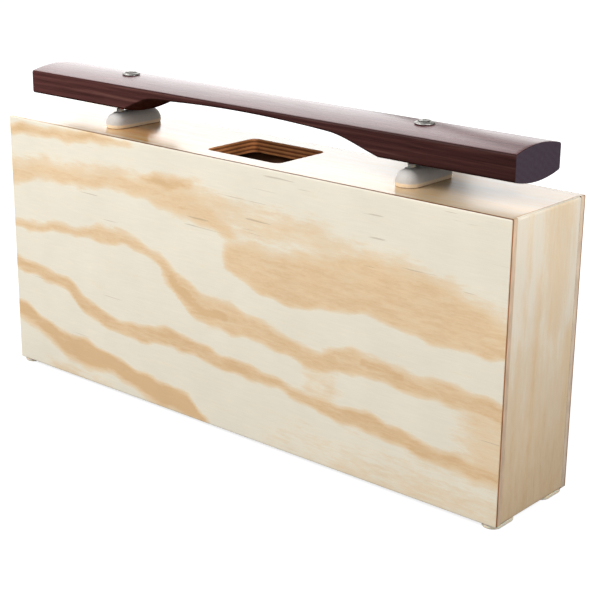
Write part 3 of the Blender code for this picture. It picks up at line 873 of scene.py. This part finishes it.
def paint_shade_up(finish, tint, low, high):
    """Shade a colour from low at the floor to high at the box's top."""
    height = finish.spread(finish.coordinate(2), CAD_BOX[0][2], TOP_HIGH.z, 0.25, 0.75)
    return finish.shade_by(tint, height, low, high)


def layers(finish, depth, colours, count):
    """Cut edge of plywood: plies of even thickness, pale and dark by turns, each streaked."""
    stops = []
    for ply in range(count):
        tint = mid(colours.ply_dark, colours.ply_pale, 0.2) if ply % 2 else colours.ply_pale
        stops.append((ply / count, tint))
        stops.append(((ply + 0.82) / count, mid(tint, colours.ply_dark, 0.35)))
    streak = finish.noise((90, 90, 90), 4.0, 0.6, (2.0, 8.0, 3.0))
    return finish.shade_by(finish.ramp(depth, stops), streak, 0.8, 1.2)


def face_ply(name, colours, core, outer_y, thickness):
    """Lacquered front or back panel: veneer with its stored figure, more resinous at the upper
    right, and raw ply inside. The cut edges darken downwards and show a dark, dull glue line behind
    the veneer and then the core. The upper edge is as glossy as the top board, and its glue line
    fades to the left."""
    finish = Finish(name)
    woods = (colours.cream, colours.honey, colours.amber)
    resinous = finish.maths("MULTIPLY", finish.spread(finish.coordinate(0), -0.08, 0.02, 0.0, 0.055),
                            finish.spread(finish.coordinate(2), 0.165, 0.185))
    tint, fibre = veneer_colour(finish, woods, colours.resin, finish.late_wood(), 0, resinous)
    depth = depth_below(finish, 1, outer_y, thickness)
    tint = raw_inside(finish, tint, depth, colours)
    line = mid(colours.ply_pale, colours.ply_dark, 0.5)
    side = finish.ramp(depth, [(0.0, colours.cream), (0.05, colours.honey), (0.09, line),
                               (0.24, line), (0.34, core), (1.0, core)])
    above = finish.ramp(depth, [(0.0, colours.honey), (0.03, colours.ply_dark),
                                (0.26, colours.ply_dark),
                                (0.33, mid(colours.gold, colours.silver, 0.5)), (1.0, colours.silver)])
    faded = finish.spread(finish.coordinate(0), -0.27, -0.12, 0.75, 0.0)
    above = finish.mix(faded, above, colours.honey)
    upper = finish.spread(finish.facing(2), 0.4, 0.7)
    edge = finish.mix(upper, side, above)
    streak = finish.noise((30, 300, 60), 4.0, 0.6, (4.0, 1.0, 6.0))
    edge = finish.shade_by(edge, streak, 0.75, 1.18)
    # Painted shade: the cut edges darken towards the floor
    edge = paint_shade_up(finish, edge, 0.80, 1.0)
    flat = finish.spread(finish.facing(1), 0.55, 0.8)
    gloss = finish.levels(depth, [(0.0, 0.4), (0.03, 0.1), (0.26, 0.1), (0.33, 0.5)])
    coat = finish.maths("MULTIPLY", upper, finish.spread(depth, 0.26, 0.33, 0.0, 0.22))
    smoother = finish.maths("MULTIPLY", upper, 0.15)
    satin = finish.maths("SUBTRACT", finish.vary(fibre, 0.30, 0.42), smoother)
    finish.principled(Base_Color=finish.mix(flat, edge, tint), Specular_IOR_Level=gloss,
                      Coat_Weight=coat, Coat_Roughness=0.14, Roughness=satin)
    finish.bump(fibre, 0.05, 0.0001)
    return finish.material


def end_ply(name, colours, outer, thickness):
    """Lacquered end board: rosy veneer with its stored figure, deeper and darker towards the floor,
    raw ply inside, and seven plies on its cut edges."""
    finish = Finish(name)
    depth = depth_below(finish, 0, outer, thickness)
    deeper = finish.spread(finish.coordinate(2), CAD_BOX[0][2], CAD_BOX[1][2], 0.14, -0.05)
    strength = finish.maths("ADD", finish.late_wood(), deeper)
    woods = (mid(colours.cream, colours.rose, 0.35), mid(colours.honey, colours.rose, 0.12),
             colours.amber)
    tint, fibre = veneer_colour(finish, woods, colours.resin, strength, 2)
    # Painted shade: the veneer darkens towards the floor
    tint = paint_shade_up(finish, tint, 0.86, 1.05)
    tint = raw_inside(finish, tint, depth, colours)
    flat = finish.spread(finish.facing(0), 0.35, 0.55)
    edge = layers(finish, depth, colours, PLIES)
    finish.principled(Base_Color=finish.mix(flat, edge, tint), Roughness=finish.vary(fibre, 0.34, 0.46),
                      Specular_IOR_Level=finish.spread(flat, 0.0, 1.0, 0.12, 0.4))
    finish.bump(fibre, 0.04, 0.0001)
    return finish.material


def level_ply(name, colours, outer, thickness):
    """Glossy top or bottom board: veneer that deepens along it as the drift says, with slow noise,
    raw ply inside, and seven plies on its cut edges, paler where they face the ends. Its rounded
    ends cut through the veneer to a glue line, and past that to pale wood."""
    finish = Finish(name)
    depth = depth_below(finish, 2, outer, thickness)
    sideways = finish.facing(0)
    slow = finish.noise(grain(0, 46, 4), 2.0, 0.5, (0.4, 0.9, 2.2), 0.6)
    drift = finish.levels(finish.spread(finish.coordinate(0), TOP_LOW.x, TOP_HIGH.x), TOP_DRIFT)
    strength = finish.maths("ADD", drift, finish.spread(slow, 0.35, 0.65, -0.2, 0.2))
    woods = (colours.silver, colours.gold, colours.tan)
    tint, fibre = veneer_colour(finish, woods, colours.resin, strength, 0)
    tint = raw_inside(finish, tint, depth, colours)
    # Painted highlight: pale cream on the rounded ends
    tint = finish.mix(finish.spread(sideways, 0.22, 0.32), tint, colours.cream)
    seam = finish.levels(sideways, [(0.06, 0.0), (0.12, 0.5), (0.2, 0.5), (0.28, 0.0)])
    tint = finish.mix(seam, tint, colours.ply_pale)
    flat = finish.spread(finish.facing(2), 0.35, 0.55)
    # Painted light: the plies that face the ends, on the sound hole's walls, are made paler
    edge = finish.shade_by(layers(finish, depth, colours, PLIES), sideways, 1.0, 2.15)
    finish.principled(Base_Color=finish.mix(flat, edge, tint), Roughness=finish.vary(fibre, 0.17, 0.25),
                      Specular_IOR_Level=finish.spread(flat, 0.0, 1.0, 0.12, 0.5),
                      Coat_Weight=finish.spread(flat, 0.0, 1.0, 0.0, 0.22), Coat_Roughness=0.14)
    finish.bump(fibre, 0.04, 0.0001)
    return finish.material


def rosewood(name, colours):
    """Rosewood: streaks and growth rings about an axis below the bar, fine pores along the grain,
    wood that darkens to the right, and oiled sides. The top is polished, and its polish reaches over
    the back edge; the front edge above the side is darker, the underside darkest, and the end grain
    cooler."""
    finish = Finish(name)
    streak = finish.noise((8, 380, 380), 6.0, 0.68, (1.0, 2.0, 3.0), 0.3)
    offset = finish.add("Mapping", {"Vector": finish.place, "Location": (0.0, 0.062, -0.175),
                                    "Scale": (0.06, 1.0, 1.0)})
    radius = finish.add("VectorMath", {0: offset.outputs[0]}, operation="LENGTH").outputs["Value"]
    wander = finish.noise((7, 40, 40), 3.0, 0.5, (5.0, 1.0, 2.0))
    turn = finish.maths("ADD", finish.maths("MULTIPLY", radius, 1250.0),
                        finish.maths("MULTIPLY", wander, 14.0))
    ring = finish.spread(finish.maths("SINE", turn), -1.0, 1.0)
    blend = finish.maths("ADD", finish.maths("MULTIPLY", streak, 0.86),
                         finish.maths("MULTIPLY", ring, 0.14))
    dark = colours.rosewood_dark
    tint = finish.ramp(blend, [(0.34, dark), (0.46, mid(dark, colours.rosewood_red, 0.7)),
                               (0.55, colours.rosewood_red), (0.70, colours.rosewood_light)])
    pores = finish.noise((26, 1500, 1500), 2.0, 0.6)
    tint = finish.shade_by(tint, pores, 0.66, 1.26)
    drift = finish.spread(finish.coordinate(0), BAR_LOW.x, BAR_HIGH.x, 0.75, 0.25)
    tint = finish.shade_by(tint, drift, 0.77, 1.55)
    upward = finish.normal(2)
    behind = finish.spread(finish.coordinate(1), -0.005, 0.005)
    top = finish.spread(upward, finish.spread(behind, 0.0, 1.0, 0.82, 0.4), 0.975)
    # Painted pinkish sheen on the polished top, stronger along the streaks
    painted_sheen = finish.shade_by(colours.rosewood_sheen, streak, 0.5, 1.5)
    tint = finish.mix(finish.maths("MULTIPLY", top, 0.5), tint, painted_sheen)
    # Painted shade along the rounded front edge above the side
    painted_edge_shade = finish.levels(upward, [(0.3, 0.0), (0.5, 0.6), (0.8, 0.6), (0.9, 0.0)])
    painted_edge_shade = finish.maths("MULTIPLY", painted_edge_shade, finish.maths("SUBTRACT", 1.0, behind))
    tint = finish.mix(painted_edge_shade, tint, dark)
    # Painted shade: the underside darkens towards black
    below = finish.spread(upward, -0.5, -0.2, 0.6, 0.0)
    tint = finish.mix(below, tint, mid(dark, (0.0, 0.0, 0.0), 0.4))
    # End grain colour: in part the dark wood, in part a painted cool reflection of the pale surroundings
    cut = finish.mix(finish.spread(blend, 0.3, 0.8, 0.0, 0.5), colours.rosewood_end,
                     mid(colours.rosewood_end, dark, 0.7))
    cut = finish.shade_by(cut, pores, 0.85, 1.1)
    end = finish.spread(finish.facing(0), 0.6, 0.9)
    gloss = finish.maths("MULTIPLY", finish.spread(top, 0.0, 1.0, 0.04, 0.61),
                         finish.spread(upward, -0.4, -0.1))
    finish.principled(Base_Color=finish.mix(end, tint, cut), Specular_IOR_Level=gloss,
                      Roughness=finish.vary(pores, 0.36, 0.25))
    finish.bump(pores, 0.10, 0.0002)
    return finish.material


def foam_rubber(name, colours):
    """Matt foam rubber: a fine skin with small pits and faint clouds, yellowed along its base."""
    finish = Finish(name)
    cloud = finish.noise((90, 90, 90), 4.0, 0.6)
    pits = finish.noise((1400, 1400, 1400), 3.0, 0.6)
    tint = finish.mottle(cloud, colours.foam, (0.3, 0.29, 0.27), 0.2)
    # Painted warm bounce light: a tan base band, paler than the foam, that fades out upwards
    base = finish.spread(finish.coordinate(2), BOUNCE_LOW, BOUNCE_HIGH, 0.95, 0.0)
    tint = finish.shade_by(finish.mix(base, tint, colours.base), pits, 0.92, 1.05)
    finish.principled(Base_Color=tint, Roughness=finish.vary(pits, 0.95, 0.75),
                      Specular_IOR_Level=0.3, Sheen_Weight=0.15, Sheen_Roughness=0.5,
                      Subsurface_Weight=0.35, Subsurface_Radius=(1.0, 0.9, 0.8), Subsurface_Scale=0.006)
    finish.bump(pits, 0.35, 0.0003)
    return finish.material


def pale_rubber(name, pale):
    """Pale rubber that lets some light through, with a faint bloom."""
    finish = Finish(name)
    bloom = finish.noise((260, 260, 260), 4.0, 0.6)
    tint = finish.mottle(bloom, pale, (0.42, 0.42, 0.38), 0.2)
    finish.principled(Base_Color=tint, Roughness=finish.vary(bloom, 0.42, 0.58),
                      Subsurface_Weight=0.25, Subsurface_Scale=0.002, Specular_IOR_Level=0.4)
    finish.bump(bloom, 0.08, 0.0003)
    return finish.material


def nickel_plate(name, colours):
    """Nickel plate, a little clouded and with fine polishing marks."""
    finish = Finish(name)
    cloud = finish.noise((500, 500, 500), 3.0, 0.5)
    marks = finish.noise((300, 4000, 4000), 2.0, 0.5)
    tint = finish.mottle(cloud, colours.nickel, (0.2, 0.19, 0.17), 0.35)
    finish.principled(Base_Color=tint, Metallic=1.0, Roughness=finish.vary(marks, 0.42, 0.55))
    finish.bump(marks, 0.04, 0.0001)
    return finish.material


def beech(name, colours):
    """Raw beech: lengthwise streaks and short dark flecks."""
    finish = Finish(name)
    streak = finish.noise((12, 260, 260), 4.0, 0.6)
    fleck = finish.noise((160, 900, 900), 2.0, 0.5, (3.0, 4.0, 5.0))
    tint = finish.mottle(streak, colours.beech, (0.3, 0.18, 0.1), 0.4)
    finish.principled(Base_Color=finish.shade_by(tint, fleck, 0.8, 1.1),
                      Roughness=finish.vary(fleck, 0.6, 0.72))
    finish.bump(fleck, 0.1, 0.0002)
    return finish.material


def shared(name, maker, *settings):
    """A finish by name, made the first time that it is asked for."""
    return bpy.data.materials.get(name) or maker(name, *settings)


def new_piece(name, mesh, material, body, slot, *nodes):
    """Make a piece that rides on a body, takes a slot's finish and stands for CAD nodes."""
    piece = bpy.data.objects.new(name, mesh)
    bpy.context.scene.collection.objects.link(piece)
    dress(piece, material)
    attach(piece, body)
    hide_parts(*nodes)
    return piece


class RESONATOR_OT_bar(bpy.types.Operator):
    """Make the tone bar with its crown, undercut and two holes"""
    bl_idname = "resonator_bar.make_bar"
    bl_label = "Tone bar"

    def execute(self, context):
        settings = context.scene.resonator_bar
        finish = shared("oiled_rosewood", rosewood, settings.colours)
        mesh = bar_mesh("rosewood_bar", settings.bar)
        piece = new_piece("rosewood_bar", mesh, finish, "bar", "rosewood", "tone_bar")
        drill(piece, settings.bar.hole, BAR_LOW.z, BAR_HIGH.z)
        return {"FINISHED"}


class RESONATOR_OT_sleeves(bpy.types.Operator):
    """Make the soft sleeves in the bar's holes"""
    bl_idname = "resonator_bar.make_sleeves"
    bl_label = "Sleeves"

    def execute(self, context):
        settings = context.scene.resonator_bar
        finish = shared("soft_rubber", pale_rubber, settings.colours.rubber)
        lip = settings.fittings.sleeve_lip
        outer = (SLEEVE_HIGH.x - SLEEVE_LOW.x) / 2 - lip
        inner = settings.box.screw_hole / 2 + lip
        upper = SLEEVE_HIGH.z - SLEEVE_LOW.z - lip
        corners = ((outer, upper), (outer, lip), (inner, lip), (inner, upper))
        profile = np.concatenate([arc(spot, lip, 90 - 90 * number, -90 * number, 4)
                                  for number, spot in enumerate(corners)])
        for side, sign in SIDES.items():
            name = "sleeve_" + side
            mesh = turned_mesh(name, profile, (sign * SUPPORT_X, 0, SLEEVE_LOW.z), closed=True, steps=48)
            new_piece(name, mesh, finish, "bar", "pale_rubber", "bar_sleeve_" + side)
        return {"FINISHED"}


class RESONATOR_OT_screws(bpy.types.Operator):
    """Make the bar screws with cross recesses, and the cup washers under their heads"""
    bl_idname = "resonator_bar.make_screws"
    bl_label = "Screws and cup washers"

    def execute(self, context):
        settings = context.scene.resonator_bar
        finish = shared("nickel_plate", nickel_plate, settings.colours)
        screw = screw_profile(settings.fittings)
        cup = cup_profile(settings.fittings, settings.box.screw_hole)
        for side, sign in SIDES.items():
            x = sign * SUPPORT_X
            mesh = turned_mesh("screw_" + side, screw, (x, 0, 0))
            piece = new_piece("screw_" + side, mesh, finish, "box", "nickel", "bar_screw_" + side)
            cut_recess(piece, x, settings.fittings)
            mesh = turned_mesh("washer_" + side, cup, (x, 0, CUP_LOW.z), closed=True)
            new_piece("washer_" + side, mesh, finish, "box", "nickel", "cup_washer_" + side)
        return {"FINISHED"}


class RESONATOR_OT_supports(bpy.types.Operator):
    """Make the two foam cushions and the four soft studs that the bar rests on"""
    bl_idname = "resonator_bar.make_supports"
    bl_label = "Cushions and studs"

    def execute(self, context):
        settings = context.scene.resonator_bar
        sizes = settings.fittings
        foam = shared("foam_rubber", foam_rubber, settings.colours)
        rubber = shared("soft_rubber", pale_rubber, settings.colours.rubber)
        height = STUD_HIGH.z - STUD_LOW.z
        stud = stud_profile(height, sizes)
        for side, sign in SIDES.items():
            name = "cushion_" + side
            mesh = cushion_mesh(name, sign * SUPPORT_X, sizes, settings.box.screw_hole)
            piece = new_piece(name, mesh, foam, "box", "foam", "support_cushion_" + side)
            for face, back in FACES.items():
                name = f"stud_{side}_{face}"
                spot = (sign * SUPPORT_X, back * STUD_Y, STUD_LOW.z)
                mesh = turned_mesh(name, stud, spot, steps=40)
                piece = new_piece(name, mesh, rubber, "box", "pale_rubber", f"support_stud_{side}_{face}")
                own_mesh(piece)
        return {"FINISHED"}


class RESONATOR_OT_faces(bpy.types.Operator):
    """Make the front and back panels with their flame figure"""
    bl_idname = "resonator_bar.make_faces"
    bl_label = "Front and back panels"

    def execute(self, context):
        settings = context.scene.resonator_bar
        colours = settings.colours
        box = settings.box
        steps = (box.figure_step, 1.0, box.figure_step)
        for face, sign in FACES.items():
            name = face + "_panel"
            low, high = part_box(name)
            if sign < 0:
                high.y += box.glue
                outer = low.y
                core = colours.core
            else:
                low.y -= box.glue
                outer = high.y
                core = mid(colours.core, colours.rose, 0.6)
            mesh = surface_mesh(name, *rounded_box(low, high, box.arris, steps, (1, -sign)))
            points = mesh_points(mesh)
            across = points[:, 2] - low.z if sign < 0 else high.z - points[:, 2]
            carry_figure(mesh, points[:, 0], across, FLAME, 1.0)
            finish = face_ply(face + "_veneer", colours, core, outer, high.y - low.y)
            new_piece(face + "_face", mesh, finish, "box", "face_ply", name)
        return {"FINISHED"}


class RESONATOR_OT_frame(bpy.types.Operator):
    """Make the four mitred boards of the box: the top with its sound hole, the bottom and the ends"""
    bl_idname = "resonator_bar.make_frame"
    bl_label = "Frame boards"

    def execute(self, context):
        settings = context.scene.resonator_bar
        colours = settings.colours
        box = settings.box
        ply = TOP_HIGH.z - TOP_LOW.z
        finish = level_ply("top_veneer", colours, TOP_HIGH.z, ply)
        mesh = holed_board_mesh("top_board", TOP_LOW, TOP_HIGH, box)
        piece = new_piece("top_board", mesh, finish, "box", "frame_ply", "top_panel")
        drill(piece, box.screw_hole, TOP_LOW.z, TOP_HIGH.z)

        low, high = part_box("bottom_panel")
        finish = level_ply("bottom_veneer", colours, low.z, ply)
        mesh = board_mesh("bottom_board", low, high, 2, 0, -1, box, box.plain_step)
        new_piece("bottom_board", mesh, finish, "box", "frame_ply", "bottom_panel")

        for side, sign in SIDES.items():
            low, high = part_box(side + "_end_panel")
            finish = end_ply(side + "_end_veneer", colours, high.x if sign > 0 else low.x, ply)
            mesh = board_mesh(side + "_end_board", low, high, 0, 2, sign, box, box.figure_step)
            points = mesh_points(mesh)
            carry_figure(mesh, points[:, 2] - low.z, sign * points[:, 1], STRIPES, 0.4)
            new_piece(side + "_end_board", mesh, finish, "box", "frame_ply", side + "_end_panel")
        return {"FINISHED"}


class RESONATOR_OT_feet(bpy.types.Operator):
    """Make the four oblong feet"""
    bl_idname = "resonator_bar.make_feet"
    bl_label = "Feet"

    def execute(self, context):
        settings = context.scene.resonator_bar
        finish = shared("foot_rubber", pale_rubber, settings.colours.foot)
        for face, back in FACES.items():
            for side, sign in SIDES.items():
                node = f"foot_{face}_{side}"
                spot = (sign * FOOT_PLACE.x, back * FOOT_PLACE.y)
                mesh = foot_mesh("oblong_" + node, spot, settings.fittings)
                new_piece("oblong_" + node, mesh, finish, "box", "pale_rubber", node)
        return {"FINISHED"}


class RESONATOR_OT_blocks(bpy.types.Operator):
    """Finish the hardwood screw blocks under the top board"""
    bl_idname = "resonator_bar.finish_blocks"
    bl_label = "Screw blocks"

    def execute(self, context):
        finish = shared("raw_beech", beech, context.scene.resonator_bar.colours)
        for side in SIDES:
            dress(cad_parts["screw_block_" + side], finish)
        return {"FINISHED"}


# Lamps: name, setting that gives the power, place, target, and the lengths of the two sides
LAMPS = (
    ("front_lamp", "front", (-0.62, -1.00, 1.20), (-0.05, 0.0, 0.14), (1.0, 0.8)),
    ("right_lamp", "right", (0.80, -0.05, 0.56), (0.275, 0.0, 0.16), (0.4, 0.3)),
    ("fill_lamp", "fill", (1.30, -1.10, 0.75), (0.0, 0.0, 0.20), (1.2, 1.0)),
    ("back_lamp", "back", (-1.345, 1.023, 0.956), (-0.064, -0.127, 0.366), (1.275, 1.675)),
    ("back_right_lamp", "back_right", (-0.699, 1.918, 0.614), (0.568, 0.780, 0.030), (0.68, 0.9)),
)


def add_lamp(name, spot, target, size, power):
    """Make a soft rectangular lamp that looks at a target and that the camera doesn't see."""
    data = bpy.data.lights.new(name, "AREA")
    data.shape = "RECTANGLE"
    data.size, data.size_y = size
    data.energy = power
    lamp = bpy.data.objects.new(name, data)
    lamp.location = spot
    lamp.rotation_euler = (Vector(target) - Vector(spot)).to_track_quat("-Z", "Y").to_euler()
    lamp.visible_camera = False
    bpy.context.scene.collection.objects.link(lamp)


def add_camera(stage):
    """Make the camera: it looks from its place to the target, rolled about its view."""
    place_at = Vector(stage.camera_place)
    forward = (Vector(stage.camera_target) - place_at).normalized()
    right = forward.cross(Vector((0, 0, 1))).normalized()
    up = right.cross(forward)
    turned_right = math.cos(stage.camera_roll) * right + math.sin(stage.camera_roll) * up
    turned_up = math.cos(stage.camera_roll) * up - math.sin(stage.camera_roll) * right
    data = bpy.data.cameras.new("camera")
    data.sensor_fit = "HORIZONTAL"
    data.sensor_width = 36.0
    data.lens = stage.lens
    data.clip_start = 0.01
    camera = bpy.data.objects.new("camera", data)
    axes = Matrix((turned_right, turned_up, -forward)).transposed().to_4x4()
    camera.matrix_world = Matrix.Translation(place_at) @ axes
    bpy.context.scene.collection.objects.link(camera)
    bpy.context.scene.camera = camera


def make_world(stage):
    """White surroundings for the camera, and an even, softer light for everything else."""
    world = bpy.data.worlds.new("studio")
    nodes = Nodes(world)
    nodes.tree.nodes.clear()
    white = (1.0, 1.0, 1.0, 1.0)
    even = nodes.add("Background", {"Color": white, "Strength": stage.ambient})
    bright = nodes.add("Background", {"Color": white, "Strength": 1.0})
    seen = nodes.add("LightPath").outputs["Is Camera Ray"]
    mixed = nodes.add("MixShader", {0: seen, 1: even.outputs[0], 2: bright.outputs[0]})
    nodes.add("OutputWorld", {0: mixed.outputs[0]})
    bpy.context.scene.world = world


def make_floor(stage):
    """Pale floor: a disc on a grid of radius and angle. It keeps the object's shadow near the
    middle and glows white towards its rim, for the camera only."""
    turn = np.linspace(0, 2 * math.pi, 96, endpoint=False)
    radius = np.array((0.0, 0.4, 0.8, 1.4, 2.4, 4.0, 7.0))[:, None]
    mesh = tube_mesh("floor", radius * np.cos(turn), radius * np.sin(turn), 0.0 * radius)
    material = bpy.data.materials.new("white_floor")
    nodes = Nodes(material)
    nodes.tree.nodes.clear()
    matt = nodes.add("BsdfDiffuse", {"Color": (0.28, 0.28, 0.28, 1.0)})
    spot = nodes.add("TexCoord").outputs["Object"]
    away = nodes.add("VectorMath", {0: spot}, operation="LENGTH").outputs["Value"]
    fade = nodes.spread(away, 0.35, 0.9, stage.floor_glow, 1.0)
    seen = nodes.add("LightPath").outputs["Is Camera Ray"]
    glow = nodes.add("Emission", {"Strength": nodes.maths("MULTIPLY", seen, fade)})
    both = nodes.add("AddShader", {0: matt.outputs[0], 1: glow.outputs[0]})
    nodes.add("OutputMaterial", {"Surface": both.outputs[0]})
    mesh.materials.append(material)
    floor = bpy.data.objects.new("floor", mesh)
    bpy.context.scene.collection.objects.link(floor)


class RESONATOR_OT_stage(bpy.types.Operator):
    """Set up the floor, the white surroundings, the lamps and the camera"""
    bl_idname = "resonator_bar.make_stage"
    bl_label = "Stage"

    def execute(self, context):
        stage = context.scene.resonator_bar.stage
        context.scene.view_settings.view_transform = "Standard"
        make_world(stage)
        make_floor(stage)
        for name, setting, spot, target, size in LAMPS:
            add_lamp(name, spot, target, size, getattr(stage, setting))
        add_camera(stage)
        return {"FINISHED"}


PIECE_OPERATORS = (RESONATOR_OT_bar, RESONATOR_OT_sleeves, RESONATOR_OT_screws, RESONATOR_OT_supports,
                   RESONATOR_OT_faces, RESONATOR_OT_frame, RESONATOR_OT_feet, RESONATOR_OT_blocks,
                   RESONATOR_OT_stage)


class RESONATOR_PT_panel(bpy.types.Panel):
    """The pieces of the resonator bar, in the order in which they are made"""
    bl_idname = "RESONATOR_PT_panel"
    bl_label = "Resonator Bar"
    bl_space_type = "VIEW_3D"
    bl_region_type = "UI"
    bl_category = "Resonator Bar"

    def draw(self, context):
        for operator in PIECE_OPERATORS:
            self.layout.operator(operator.bl_idname)
        settings = context.scene.resonator_bar
        for group in (settings.bar, settings.box, settings.fittings, settings.colours, settings.stage):
            column = self.layout.column(heading=type(group).__doc__)
            for key in type(group).__annotations__:
                column.prop(group, key)


CLASSES = (BarSizes, BoxSizes, FittingSizes, Colours, StageSettings, ResonatorBarSettings,
           *PIECE_OPERATORS, RESONATOR_PT_panel)


def register():
    """Make the classes known and hang the settings on the scene."""
    for cls in CLASSES:
        bpy.utils.register_class(cls)
    bpy.types.Scene.resonator_bar = bpy.props.PointerProperty(type=ResonatorBarSettings)


def unregister():
    """Take the settings and the classes away again."""
    del bpy.types.Scene.resonator_bar
    for cls in reversed(CLASSES):
        bpy.utils.unregister_class(cls)


def main():
    """Register, make every piece in order and write down the sizes."""
    register()
    for operator in PIECE_OPERATORS:
        group, action = operator.bl_idname.split(".")
        getattr(getattr(bpy.ops, group), action)()
    bpy.context.view_layer.update()


if __name__ == "__main__":
    main()
